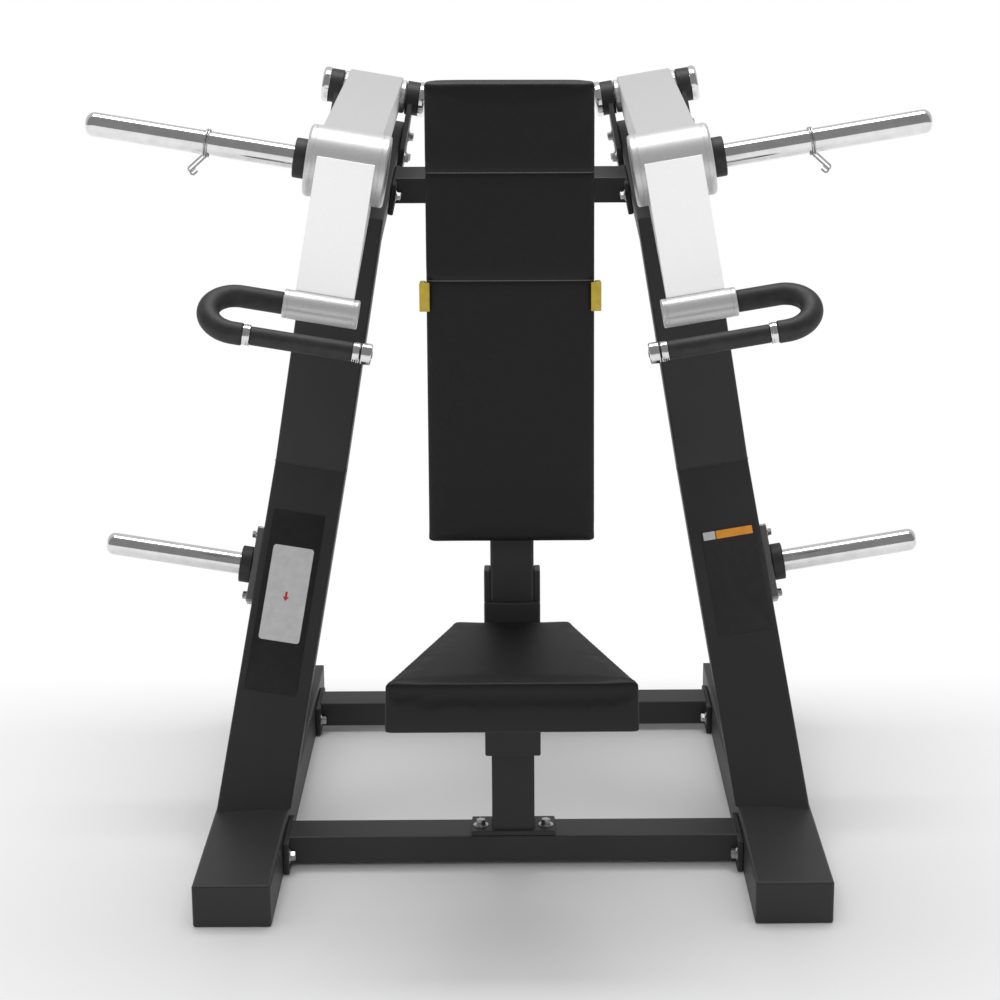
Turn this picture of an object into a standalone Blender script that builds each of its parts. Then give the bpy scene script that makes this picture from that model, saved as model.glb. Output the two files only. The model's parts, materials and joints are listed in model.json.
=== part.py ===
"""Plate-loaded shoulder press machine, as separate solids.

Metres, +Z up. The floor is Z = 0, the machine's mid-plane is X = 0, and the seat faces -Y.
"left" is the -X side and "right" the +X side. Each side frame stands in a plane that leans
inwards; pieces on it are built in that plane's own axes: x outwards, y to the rear, z up.
"""

import math

import bmesh
import bpy
from mathutils import Matrix, Vector

GAP = 0.0003
FRONT_Y = -0.628

# Side frames
LEAN = math.atan(0.1680)
FOOT_X = 0.5916
TUBE_W = 0.162
TUBE_D = 0.085
WALL = 0.004
EDGE = 0.005

# Base
RAIL_X = 0.580
RAIL_H = 0.093
RAIL_LENGTH = 1.400
BAR_D = 0.098
BAR_Z = (0.015, 0.075)
BAR_BACKS = {"front": 0.294, "rear": 1.149}
FLANGE_T = 0.012
FLANGE_D = 0.165
FLANGE_Z = (0.001, 0.0735)

# Uprights, as distance behind the rails' front ends and height
POST_FOOT = (0.401, RAIL_H)
POST_KINK = (0.720, 0.800)
POST_TOP = (0.720, 1.375)
TOP_SLOPE = math.radians(17.0)
TOP_REAR = 1.250
REAR_POST_W = 0.100
BEAM_D = 0.070
BEAM_H = 0.064
BEAM_BACK = 0.931
BEAM_DROP = 0.0125

# Press arm, in the side frame's plane
PIVOT = (1.190, 1.601)
HOUSING = (0.430, 1.514)
SLEEVE = (0.282, 1.239)
GRIP = (0.178, 1.1835)
ARM_W = 0.127
DROP_W = 0.120
HOUSING_R = 0.075
HOUSING_HALF = 0.084
PIVOT_R = 0.039
SHAFT_R = 0.015
SLEEVE_R = 0.030
HANDLE_R = 0.0230
GRIP_R = 0.019
CORE_R = 0.012
BEND_N = 0.1665
SLEEVE_N = (-0.0735, 0.0810)
GRIP_N = (-0.0765, 0.1300)
BEND_END_N = 0.1460
END_CAP_N = (-0.1155, -0.0945)
PLATE_N = (0.0815, 0.0935)
BOSS_N = (0.0760, 0.1060)
CAP_N = (0.1065, 0.1240)
CAP_R = 0.0415

# Weight horns
HORN_R = 0.025
HORN_TIP = 0.544
BUMPER_R = 0.0415
BUMPER_T = 0.026
CLIP_N = 0.292
CLIP_WIRE_R = 0.0019
STORAGE_BACK = 0.668
STORAGE_Z = 0.567
STORAGE_TIP = 0.427
STORAGE_PLATE_T = 0.0145

# Seat and back, in the column's leaning axes
COLUMN_LEAN = math.atan(0.070)
COLUMN_BACK = 0.302
COLUMN_W = 0.0925
COLUMN_D = 0.070
COLUMN_TOP = 1.389
COLUMN_FOOT_Z = 0.0865
FOOT_PLATE = (0.182, 0.086)
CARRIAGE_W = 0.120
CARRIAGE_Z = (0.256, 0.596)
CHEEK_Z = (0.570, 0.661)
PIN_Z = 0.335
PAD_W = 0.345
PAD_T = 0.078
PAD_Z = (0.743, 1.688)
BOARD_T = 0.015
SEAT_FRONT = -0.144
SEAT_REAR = 0.256
SEAT_TOP = 0.579
SEAT_T = 0.104
SEAT_FRONT_W = 0.490
SEAT_REAR_W = 0.236
SEAT_FRAME_W = 0.105
LEVER_Z = 1.256
TAB_X = 0.186

FINISHES = {
    "powder_coat": ((0.038, 0.038, 0.040), 0.55, 0.25),
    "silver_paint": ((0.62, 0.63, 0.64), 0.38, 0.75),
    "chrome": ((0.80, 0.80, 0.81), 0.12, 1.0),
    "zinc": ((0.55, 0.56, 0.57), 0.35, 1.0),
    "bearing_steel": ((0.30, 0.30, 0.31), 0.40, 1.0),
    "rubber": ((0.022, 0.022, 0.023), 0.70, 0.0),
    "vinyl": ((0.016, 0.016, 0.017), 0.50, 0.0),
    "board": ((0.020, 0.020, 0.020), 0.60, 0.0),
    "yellow_plastic": ((0.46, 0.35, 0.030), 0.45, 0.0),
}


def clear_scene():
    for obj in list(bpy.data.objects):
        bpy.data.objects.remove(obj, do_unlink=True)


def back(distance):
    """World Y of a point this far behind the rails' front ends."""
    return FRONT_Y + distance


def in_plane(point):
    """(y, z) in a side frame's leaning plane, from (distance back, true height)."""
    return (back(point[0]), point[1] / math.cos(LEAN))


def material(name):
    found = bpy.data.materials.get(name)
    if found:
        return found
    colour, roughness, metallic = FINISHES[name]
    made = bpy.data.materials.new(name)
    made.use_nodes = True
    shader = made.node_tree.nodes["Principled BSDF"]
    shader.inputs["Base Color"].default_value = (*colour, 1.0)
    shader.inputs["Roughness"].default_value = roughness
    shader.inputs["Metallic"].default_value = metallic
    made.diffuse_color = (*colour, 1.0)
    return made


def empty(name, location, parent=None, turn=0.0, axis="Y"):
    obj = bpy.data.objects.new(name, None)
    obj.empty_display_size = 0.05
    obj.location = location
    setattr(obj.rotation_euler, axis.lower(), turn)
    obj.parent = parent
    bpy.context.collection.objects.link(obj)
    return obj


def add_part(name, bm, finish, side=1, parent=None, offset=(0, 0, 0)):
    """Makes bm an object; side -1 mirrors it, and offset puts the parent's origin where it belongs."""
    if side < 0:
        bmesh.ops.scale(bm, vec=(-1, 1, 1), verts=bm.verts)
    bmesh.ops.recalc_face_normals(bm, faces=bm.faces)
    mesh = bpy.data.meshes.new(name)
    bm.to_mesh(mesh)
    bm.free()
    mesh.materials.append(material(finish))
    mesh.shade_smooth()
    mesh.set_sharp_from_angle(angle=math.radians(30))
    obj = bpy.data.objects.new(name, mesh)
    obj.parent = parent
    obj.location = -Vector((offset[0] * side, offset[1], offset[2]))
    bpy.context.collection.objects.link(obj)
    return obj


# Shapes


def soften(bm, width, segments=2, keep=None):
    """Rounds the edges sharper than 30 degrees, or those of them that keep accepts."""
    edges = [
        edge
        for edge in bm.edges
        if len(edge.link_faces) == 2
        and edge.calc_face_angle(0) > math.radians(30)
        and (keep is None or keep(edge))
    ]
    bmesh.ops.bevel(bm, geom=edges, offset=width, segments=segments, profile=0.5, affect="EDGES")
    return bm


def block(low, high, edge=0.0, segments=2):
    bm = bmesh.new()
    bmesh.ops.create_cube(bm, size=1.0)
    low, high = Vector(low), Vector(high)
    bmesh.ops.scale(bm, vec=high - low, verts=bm.verts)
    bmesh.ops.translate(bm, vec=(low + high) / 2, verts=bm.verts)
    return soften(bm, edge, segments) if edge else bm


def prism(outline, low, high, edge=0.0, segments=2):
    """An outline of (y, z) points, extruded along x."""
    bm = bmesh.new()
    face = bm.faces.new([bm.verts.new((low, y, z)) for y, z in outline])
    made = bmesh.ops.extrude_face_region(bm, geom=[face])
    moved = [item for item in made["geom"] if isinstance(item, bmesh.types.BMVert)]
    bmesh.ops.translate(bm, vec=(high - low, 0, 0), verts=moved)
    bmesh.ops.recalc_face_normals(bm, faces=bm.faces)
    return soften(bm, edge, segments) if edge else bm


def turned(profile, steps=32, centre=(0.0, 0.0), ring=False):
    """A profile of (x, radius) points spun about the x axis through centre (y, z)."""
    bm = bmesh.new()
    verts = [bm.verts.new((x, 0, radius)) for x, radius in profile]
    pairs = list(zip(verts, verts[1:]))
    if ring:
        pairs.append((verts[-1], verts[0]))
    edges = [bm.edges.new(pair) for pair in pairs]
    bmesh.ops.spin(
        bm, geom=verts + edges, cent=(0, 0, 0), axis=(1, 0, 0), angle=2 * math.pi, steps=steps
    )
    bmesh.ops.remove_doubles(bm, verts=bm.verts, dist=1e-5)
    bmesh.ops.recalc_face_normals(bm, faces=bm.faces)
    bmesh.ops.translate(bm, vec=(0, *centre), verts=bm.verts)
    return bm


def rounded_rod(low, high, radius, edge, low_edge=None, steps=18, centre=(0.0, 0.0)):
    """A solid bar along x, with edge and low_edge as the fillets of its two rims."""
    low_edge = edge if low_edge is None else low_edge
    profile = [(low, 0.0)]
    profile += fillet(low + low_edge, radius - low_edge, low_edge, 180, 90)
    profile += fillet(high - edge, radius - edge, edge, 90, 0)
    profile.append((high, 0.0))
    return turned(profile, steps, centre)


def fillet(x, radius, size, start, end):
    """Profile points round a rim: a chamfer on a small rim, an arc on a large one."""
    count = 3 if size > 0.003 else 1
    angles = [math.radians(start + (end - start) * i / count) for i in range(count + 1)]
    return [(x + size * math.cos(a), radius + size * math.sin(a)) for a in angles]


def washer(low, high, outer, inner, edge=0.002, steps=18, centre=(0.0, 0.0)):
    rim = [(low, outer - edge), (low + edge, outer), (high - edge, outer), (high, outer - edge)]
    profile = [(low, inner), *(rim if edge else [(low, outer), (high, outer)]), (high, inner)]
    return turned(profile, steps, centre, ring=True)


def swept(path, radius, sides=16):
    """A round bar along a list of points, with flat ends."""
    bm = bmesh.new()
    points = [Vector(p) for p in path]
    tangent = (points[1] - points[0]).normalized()
    up = tangent.orthogonal().normalized()
    rings = []
    for i, point in enumerate(points):
        before = points[max(i - 1, 0)]
        after = points[min(i + 1, len(points) - 1)]
        turned_to = (after - before).normalized()
        up = (tangent.rotation_difference(turned_to) @ up).normalized()
        tangent = turned_to
        across = tangent.cross(up)
        ring = []
        for k in range(sides):
            angle = 2 * math.pi * k / sides
            ring.append(bm.verts.new(point + radius * (up * math.cos(angle) + across * math.sin(angle))))
        rings.append(ring)
    for first, second in zip(rings, rings[1:]):
        for k in range(sides):
            n = (k + 1) % sides
            bm.faces.new((first[k], first[n], second[n], second[k]))
    bm.faces.new(rings[0])
    bm.faces.new(rings[-1])
    bmesh.ops.recalc_face_normals(bm, faces=bm.faces)
    return bm


def boolean(first, second, operation):
    """The union or difference of two shapes, as one shape; both inputs are used up."""
    objects = []
    for bm in (first, second):
        mesh = bpy.data.meshes.new("operand")
        bm.to_mesh(mesh)
        bm.free()
        obj = bpy.data.objects.new("operand", mesh)
        bpy.context.collection.objects.link(obj)
        objects.append(obj)
    modifier = objects[0].modifiers.new("boolean", "BOOLEAN")
    modifier.operation = operation
    modifier.object = objects[1]
    graph = bpy.context.evaluated_depsgraph_get()
    result = bmesh.new()
    result.from_mesh(objects[0].evaluated_get(graph).to_mesh())
    for obj in objects:
        mesh = obj.data
        bpy.data.objects.remove(obj, do_unlink=True)
        bpy.data.meshes.remove(mesh)
    return result


def union(*shapes):
    result = shapes[0]
    for shape in shapes[1:]:
        result = boolean(result, shape, "UNION")
    return result


def cut(shape, *tools):
    for tool in tools:
        shape = boolean(shape, tool, "DIFFERENCE")
    return shape


def loft(sections, width, edge=0.0):
    """A four-sided bar through sections of two (y, z) points, front or top first.

    A section marked level has its ends on one world height, though the side frame leans.
    """
    bm = bmesh.new()
    rings = []
    for i, (first, last, level) in enumerate(sections):
        other = sections[i + 1] if i + 1 < len(sections) else sections[i - 1]
        slope = (other[0][0] - first[0]) / (other[0][1] - first[1]) if level else 0.0
        ring = []
        for x, (y, z) in ((-1, first), (1, first), (1, last), (-1, last)):
            drop = -x * width / 2 * math.tan(LEAN) if level else 0.0
            ring.append(bm.verts.new((x * width / 2, y + drop * slope, z + drop)))
        rings.append(ring)
    section_of = {vert: i for i, ring in enumerate(rings) for vert in ring}
    for low, high in zip(rings, rings[1:]):
        for k in range(4):
            n = (k + 1) % 4
            bm.faces.new((low[k], low[n], high[n], high[k]))
    bm.faces.new(rings[0])
    bm.faces.new(rings[-1])
    bmesh.ops.recalc_face_normals(bm, faces=bm.faces)
    if edge:
        soften(bm, edge, 2, lambda e: section_of[e.verts[0]] != section_of[e.verts[1]])
    return bm


def hollow(sections, width, reach=0.02):
    """The cavity of a tube made by loft, run out past both of its ends."""
    inner = []
    for first, last, level in sections:
        depth = Vector(last) - Vector(first)
        inset = depth.normalized() * WALL * 1.15
        inner.append([Vector(first) + inset, Vector(last) - inset, level])
    for end, nearer in ((0, 1), (-1, -2)):
        for k in range(2):
            away = (inner[end][k] - inner[nearer][k]).normalized()
            inner[end][k] = inner[end][k] + away * reach
    return loft([(tuple(a), tuple(b), level) for a, b, level in inner], width - 2 * WALL)


def tube(sections, width):
    return cut(loft(sections, width, EDGE), hollow(sections, width))


# Side frames


def top_height(distance):
    """Height of the top rail's upper face this far back."""
    return POST_TOP[1] + (distance - POST_TOP[0]) * math.tan(TOP_SLOPE)


def base_rail(name, side):
    low = RAIL_X - TUBE_W / 2
    high = RAIL_X + TUBE_W / 2
    outer = block((low, FRONT_Y, 0), (high, FRONT_Y + RAIL_LENGTH, RAIL_H), EDGE)
    inner = block(
        (low + WALL, FRONT_Y + WALL, WALL),
        (high - WALL, FRONT_Y + RAIL_LENGTH + WALL, RAIL_H - WALL),
    )
    add_part(name + "_base_rail", cut(outer, inner), "powder_coat", side)


def front_post(name, side, frame):
    level_depth = TUBE_D / math.cos(math.atan2(POST_KINK[0] - POST_FOOT[0], POST_KINK[1] - POST_FOOT[1]))
    foot = (POST_FOOT[0], POST_FOOT[1] + GAP)
    slope = (POST_KINK[0] - POST_FOOT[0]) / (POST_KINK[1] - POST_FOOT[1])
    rear_kink_z = POST_KINK[1] - (level_depth - TUBE_D) / slope
    rear_top_z = top_height(POST_TOP[0] + TUBE_D) - TUBE_D / math.cos(TOP_SLOPE)
    sections = [
        (in_plane(foot), in_plane((foot[0] + level_depth, foot[1])), True),
        (in_plane(POST_KINK), in_plane((POST_KINK[0] + TUBE_D, rear_kink_z)), False),
        (in_plane(POST_TOP), in_plane((POST_TOP[0] + TUBE_D, rear_top_z)), False),
    ]
    add_part(name + "_front_post", tube(sections, TUBE_W), "powder_coat", side, frame)


def top_rail(name, side, frame):
    depth = TUBE_D / math.cos(TOP_SLOPE)
    front = POST_TOP[0] + GAP
    sections = [
        (
            in_plane((front, POST_TOP[1] + GAP)),
            in_plane((front + TUBE_D, top_height(front + TUBE_D) - depth + GAP)),
            False,
        ),
        (
            in_plane((TOP_REAR, top_height(TOP_REAR) + GAP)),
            in_plane((TOP_REAR, top_height(TOP_REAR) - depth + GAP)),
            False,
        ),
    ]
    add_part(name + "_top_rail", tube(sections, TUBE_W), "powder_coat", side, frame)


def rear_post(name, side, frame):
    underside = TUBE_D / math.cos(TOP_SLOPE) + 2 * GAP
    front = TOP_REAR - TUBE_D
    sections = [
        (in_plane((front, RAIL_H + GAP)), in_plane((TOP_REAR, RAIL_H + GAP)), True),
        (
            in_plane((front, top_height(front) - underside)),
            in_plane((TOP_REAR, top_height(TOP_REAR) - underside)),
            False,
        ),
    ]
    add_part(name + "_rear_post", tube(sections, REAR_POST_W), "powder_coat", side, frame)


def cross_bar(name, distance):
    """A floor bar between the rails, with a bolting flange welded to each end."""
    inner = RAIL_X - TUBE_W / 2 - GAP
    near = back(distance)
    reach = inner - FLANGE_T / 2
    bar = block((-reach, near, BAR_Z[0]), (reach, near + BAR_D, BAR_Z[1]), 0.004)
    middle = near + BAR_D / 2
    flanges = [
        block(
            (min(s * inner, s * (inner - FLANGE_T)), middle - FLANGE_D / 2, FLANGE_Z[0]),
            (max(s * inner, s * (inner - FLANGE_T)), middle + FLANGE_D / 2, FLANGE_Z[1]),
            0.002,
            1,
        )
        for s in (-1, 1)
    ]
    add_part(name + "_cross_bar", union(bar, *flanges), "powder_coat")


def sloped_outline(near, top, depth, height):
    """A rectangle's (y, z) corners, its upper face parallel to the top rails."""
    along = Vector((math.cos(TOP_SLOPE), math.sin(TOP_SLOPE)))
    down = Vector((math.sin(TOP_SLOPE), -math.cos(TOP_SLOPE)))
    corner = Vector((back(near), top))
    steps = ((0, 0), (depth, 0), (depth, height), (0, height))
    return [tuple(corner + along * a + down * b) for a, b in steps]


def top_cross_beam():
    """The beam between the top rails; its ends and flanges follow the leaning side frames."""
    reach = TUBE_W / 2 + GAP
    top = top_height(BEAM_BACK) - BEAM_DROP
    beam = prism(sloped_outline(BEAM_BACK, top, BEAM_D, BEAM_H), -0.25, 0.25, 0.004)
    for vert in beam.verts:
        if abs(vert.co.x) > 0.2:
            face_x = FOOT_X - math.tan(LEAN) * vert.co.z - (reach + FLANGE_T / 2) / math.cos(LEAN)
            vert.co.x = math.copysign(face_x, vert.co.x)
    flanges = []
    for side in (-1, 1):
        outline = sloped_outline(BEAM_BACK - 0.020, top_height(BEAM_BACK - 0.020) - 0.004, 0.11, 0.077)
        outline = [(y, z / math.cos(LEAN)) for y, z in outline]
        flange = prism(outline, -reach - FLANGE_T, -reach, 0.002, 1)
        if side < 0:
            bmesh.ops.scale(flange, vec=(-1, 1, 1), verts=flange.verts)
            bmesh.ops.reverse_faces(flange, faces=flange.faces)
        bmesh.ops.transform(flange, matrix=lean_matrix(side), verts=flange.verts)
        flanges.append(flange)
    add_part("top_cross_beam", union(beam, *flanges), "powder_coat")


def lean_matrix(side):
    turn = Matrix.Rotation(-side * LEAN, 4, "Y")
    return Matrix.Translation((side * FOOT_X, 0, 0)) @ turn


# Pivots


def arc(centre, radius, start, end, count):
    angles = [math.radians(start + (end - start) * i / count) for i in range(count + 1)]
    return [(centre[0] + radius * math.cos(a), centre[1] + radius * math.sin(a)) for a in angles]


def cradle(centre, radius, start, end, count):
    """An arc whose chords, and not only its points, stay clear of a round part of this radius."""
    half_step = math.radians(end - start) / count / 2
    return arc(centre, (radius + GAP) / math.cos(half_step), start, end, count)


def pivot_plate(low, high):
    """A bracket plate bolted to the top rail's side, with the bearing boss welded to its head."""
    pivot = in_plane(PIVOT)
    near, far = 1.085, 1.246
    rail = TUBE_D / math.cos(TOP_SLOPE)
    outline = [
        in_plane((near, top_height(near) - rail + 0.004)),
        in_plane((far, top_height(far) - rail + 0.004)),
        in_plane((far, top_height(far) + 0.010)),
    ]
    outline += arc(pivot, 0.034, -5, 185, 8)
    outline.append(in_plane((near, top_height(near) + 0.004)))
    return prism(outline, low, high, 0.0015, 1)


def pivots(name, side, frame):
    """Brackets, bearings and caps on both sides of the arm; x grows outwards."""
    pivot = in_plane(PIVOT)
    for place, sign in (("outer", 1), ("inner", -1)):
        plate = pivot_plate(*sorted((sign * PLATE_N[0], sign * PLATE_N[1])))
        boss = washer(*sorted((sign * BOSS_N[0], sign * BOSS_N[1])), PIVOT_R, 0.027, centre=pivot)
        bore = rounded_rod(*sorted((sign * 0.07, sign * 0.11)), 0.027, 0.001, centre=pivot)
        bracket = union(cut(plate, bore), boss)
        add_part(f"{name}_pivot_bracket_{place}", bracket, "powder_coat", side, frame)
        race = washer(
            *sorted((sign * 0.0785, sign * 0.1040)), 0.027 - GAP, SHAFT_R + 0.0004, 0.0, centre=pivot
        )
        add_part(f"{name}_bearing_{place}", race, "bearing_steel", side, frame)
        low, high = sorted((sign * CAP_N[0], sign * CAP_N[1]))
        edges = (0.007, 0.001) if sign > 0 else (0.001, 0.007)
        cap = rounded_rod(low, high, CAP_R, edges[0], edges[1], 20, pivot)
        add_part(f"{name}_bearing_cap_{place}", cap, "chrome", side, frame)


# Press arm


def toward(first, second):
    """Unit vector from one point to another in the plane, and the one a quarter turn on."""
    along = (Vector(second) - Vector(first)).normalized()
    return along, Vector((-along.y, along.x))


def meet(start, direction, centre, radius):
    """Where a line first meets a circle."""
    offset = Vector(start) - Vector(centre)
    b = offset.dot(direction)
    c = offset.length_squared - radius * radius
    return Vector(start) + direction * (-b - math.sqrt(b * b - c))


def bearing_angle(centre, point):
    return math.degrees(math.atan2(point[1] - centre[1], point[0] - centre[0]))


def arm_beam(name, side, axis):
    """The tapered lever from the pivot sleeve to the housing; its front end fits the housing."""
    pivot, housing = in_plane(PIVOT), in_plane(HOUSING)
    along, _ = toward(pivot, housing)
    up = Vector((along.y, -along.x))
    clear = HOUSING_R + GAP
    ends = []
    for sign, rear_height, front_height in ((1, 0.046, 0.066), (-1, 0.036, 0.058)):
        start = Vector(pivot) + up * sign * rear_height
        target = Vector(housing) + up * sign * front_height
        direction = (target - start).normalized()
        ends.append((start, meet(start, direction, housing, clear)))
    top, bottom = ends
    first = bearing_angle(housing, top[1])
    last = bearing_angle(housing, bottom[1])
    outline = cradle(housing, HOUSING_R, first, last, 10)
    outline += [tuple(bottom[0]), tuple(top[0])]
    beam = prism(outline, -ARM_W / 2, ARM_W / 2, 0.003)
    sleeve = rounded_rod(-0.0745, 0.0745, PIVOT_R, 0.003, steps=20, centre=pivot)
    bore = rounded_rod(-0.09, 0.09, SHAFT_R + GAP, 0.001, centre=pivot)
    arm = cut(union(beam, sleeve), bore)
    add_part(name + "_arm_beam", arm, "silver_paint", side, axis, (0, *pivot))
    shaft = rounded_rod(-0.1045, 0.1045, SHAFT_R, 0.001, centre=pivot)
    add_part(name + "_pivot_shaft", shaft, "zinc", side, axis, (0, *pivot))


def arm_housing(name, side, axis):
    housing = in_plane(HOUSING)
    drum = washer(-HOUSING_HALF, HOUSING_HALF, HOUSING_R, HORN_R + GAP, 0.005, 24, housing)
    add_part(name + "_arm_housing", drum, "silver_paint", side, axis, (0, *in_plane(PIVOT)))


def drop_tube(name, side, axis):
    """The arm below the housing: its front face stands proud of the housing and ends on the sleeve."""
    housing, sleeve = in_plane(HOUSING), in_plane(SLEEVE)
    tilt = math.radians(14.5)
    outward = Vector((-math.cos(tilt), math.sin(tilt)))
    down = Vector((-math.sin(tilt), -math.cos(tilt)))
    top_front = Vector(housing) + outward * (HOUSING_R + 0.0035) - down * 0.0005
    low_front = meet(top_front, down, sleeve, SLEEVE_R + GAP)
    first = bearing_angle(housing, top_front) % 360
    upper = cradle(housing, HOUSING_R, first, 310, 12)
    lower = cradle(sleeve, SLEEVE_R, 40, bearing_angle(sleeve, low_front) % 360, 6)
    shape = prism([tuple(top_front), *upper, *lower], -DROP_W / 2, DROP_W / 2, 0.0008, 1)
    add_part(name + "_drop_tube", shape, "silver_paint", side, axis, (0, *in_plane(PIVOT)))


def handle(name, side, axis):
    """The sleeve under the arm, and the bent handle that passes through it to the hand grip."""
    sleeve, grip = in_plane(SLEEVE), in_plane(GRIP)
    origin = (0, *in_plane(PIVOT))
    ring = washer(*SLEEVE_N, SLEEVE_R, GRIP_R + GAP, 0.003, 20, sleeve)
    add_part(name + "_handle_sleeve", ring, "silver_paint", side, axis, origin)

    middle = (Vector(sleeve) + Vector(grip)) / 2
    half = (Vector(grip) - Vector(sleeve)) / 2
    path = [(SLEEVE_N[1] + GAP, *sleeve)]
    for i in range(11):
        angle = math.pi * i / 10
        y, z = middle - half * math.cos(angle)
        path.append((BEND_N + half.length * math.sin(angle), y, z))
    path.append((BEND_END_N, *grip))
    bend = swept(path, HANDLE_R, 12)
    spigot = rounded_rod(SLEEVE_N[0] + 0.003, 0.09, GRIP_R, 0.002, steps=18, centre=sleeve)
    core = rounded_rod(END_CAP_N[1] + GAP, BEND_N, CORE_R, 0.002, steps=18, centre=grip)
    add_part(name + "_handle_bar", union(bend, spigot, core), "rubber", side, axis, origin)

    tube_grip = washer(*GRIP_N, GRIP_R, CORE_R + GAP, 0.002, 18, grip)
    add_part(name + "_hand_grip", tube_grip, "rubber", side, axis, origin)
    cap = rounded_rod(*END_CAP_N, 0.022, 0.002, 0.003, 18, grip)
    add_part(name + "_handle_end_cap", cap, "chrome", side, axis, origin)


# Weight horns


def weight_horn(name, side, axis):
    housing = in_plane(HOUSING)
    origin = (0, *in_plane(PIVOT))
    horn = rounded_rod(-0.070, HORN_TIP, HORN_R, 0.014, 0.002, 18, housing)
    add_part(name + "_weight_horn", horn, "chrome", side, axis, origin)
    low = HOUSING_HALF + GAP
    bumper = washer(low, low + BUMPER_T, BUMPER_R, HORN_R + GAP, 0.003, 18, housing)
    add_part(name + "_horn_bumper", bumper, "rubber", side, axis, origin)


def spring_clip(name, side, axis):
    """A wire clip round the horn: two and a quarter turns, and two legs to squeeze."""
    housing = in_plane(HOUSING)
    coil = HORN_R + CLIP_WIRE_R + 0.0008
    turns, pitch, steps = 2.25, 0.0055, 32
    start = math.radians(200)
    path = []
    for i in range(steps + 1):
        angle = start + 2 * math.pi * turns * i / steps
        x = pitch * turns * (i / steps - 0.5)
        path.append((x, coil * math.cos(angle), coil * math.sin(angle)))
    first, last = Vector(path[0]), Vector(path[-1])
    before = (first - Vector(path[1])).normalized()
    after = (last - Vector(path[-2])).normalized()
    path.insert(0, tuple(first + before * 0.042 + Vector((-0.010, 0, 0))))
    path.append(tuple(last + after * 0.042 + Vector((0.010, 0, 0))))
    clip = swept(path, CLIP_WIRE_R, 5)
    pivot = in_plane(PIVOT)
    place = (CLIP_N * side, housing[0] - pivot[0], housing[1] - pivot[1])
    slide = empty(name + "_clip_slide", place, axis)
    add_part(name + "_spring_clip", clip, "zinc", side, slide)


def storage_horn(name, side, frame):
    """A plate holder on the post's outer side: a flange along the post, with the horn on it."""
    centre = in_plane((STORAGE_BACK, STORAGE_Z))
    foot, kink = in_plane(POST_FOOT), in_plane(POST_KINK)
    along, across = toward(foot, kink)
    corners = ((-1, -1), (1, -1), (1, 1), (-1, 1))
    outline = [tuple(Vector(centre) + along * a * 0.0865 + across * b * 0.036) for a, b in corners]
    low = TUBE_W / 2 + GAP
    flange = prism(outline, low, low + STORAGE_PLATE_T, 0.002, 1)
    horn = rounded_rod(low + 0.004, STORAGE_TIP, HORN_R, 0.014, 0.002, 18, centre)
    add_part(name + "_storage_horn", union(flange, horn), "chrome", side, frame)
    start = low + STORAGE_PLATE_T + GAP
    bumper = washer(start, start + BUMPER_T, BUMPER_R, HORN_R + GAP, 0.003, 18, centre)
    add_part(name + "_storage_bumper", bumper, "rubber", side, frame)


def arm_stop(name, side, frame):
    """The rubber buffer on the top rail that the arm comes down on."""
    distance = 0.955
    share = (distance - HOUSING[0]) / (PIVOT[0] - HOUSING[0])
    middle = HOUSING[1] + share * (PIVOT[1] - HOUSING[1])
    underside = middle - 0.058 + share * 0.022
    low = in_plane((distance, top_height(distance) + 0.010))
    high = in_plane((distance, underside - 0.006))
    foot, head = low[1], high[1]
    stop = turned([(foot, 0), (foot, 0.026), (head - 0.006, 0.023), (head, 0.017), (head, 0)], 16)
    upright = Matrix.Rotation(-math.pi / 2, 3, "Y")
    bmesh.ops.rotate(stop, cent=(0, 0, 0), matrix=upright, verts=stop.verts)
    bmesh.ops.translate(stop, vec=(0, low[0], 0), verts=stop.verts)
    add_part(name + "_arm_stop", stop, "rubber", side, frame)


# Seat and back, built upright and then leaned about the column's foot


def column(frame):
    """The seat column with its foot plate, a stay to the top beam and a lug for the lever."""
    tall = COLUMN_TOP - COLUMN_FOOT_Z
    half = COLUMN_W / 2
    post = block((-half, 0, -0.004), (half, COLUMN_D, tall), 0.005)
    height = lever_rise()
    lug = block(
        (-0.028, COLUMN_D - 0.004, height - 0.018), (0.028, COLUMN_D + 0.034, height + 0.018), 0.003, 1
    )
    hole = rounded_rod(-0.05, 0.05, 0.0085, 0.001, steps=18, centre=(COLUMN_D + 0.018, height))
    post = cut(union(post, lug), hole)
    bmesh.ops.transform(post, matrix=frame.matrix_basis, verts=post.verts)
    near = back(BAR_BACKS["front"])
    width, depth = FOOT_PLATE
    foot = block((-width / 2, near, BAR_Z[1] + GAP), (width / 2, near + depth, COLUMN_FOOT_Z), 0.002, 1)
    beam = sloped_outline(BEAM_BACK, top_height(BEAM_BACK) - BEAM_DROP, BEAM_D, BEAM_H)
    head = Vector(frame.matrix_basis @ Vector((0, COLUMN_D - 0.01, tall)))
    lip = Vector((-0.0006, 0.0))
    stay = prism(
        [
            (head.y, head.z - 0.075),
            tuple(Vector(beam[3]) + lip),
            tuple(Vector(beam[0]) + lip),
            (head.y, head.z - 0.006),
        ],
        -0.035,
        0.035,
        0.004,
    )
    add_part("seat_column", union(post, foot, stay), "powder_coat")


def lever_rise():
    return (LEVER_Z - COLUMN_FOOT_Z) / math.cos(COLUMN_LEAN)


def rise(height):
    """Distance up the column of a true height."""
    return (height - COLUMN_FOOT_Z) / math.cos(COLUMN_LEAN)


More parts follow.
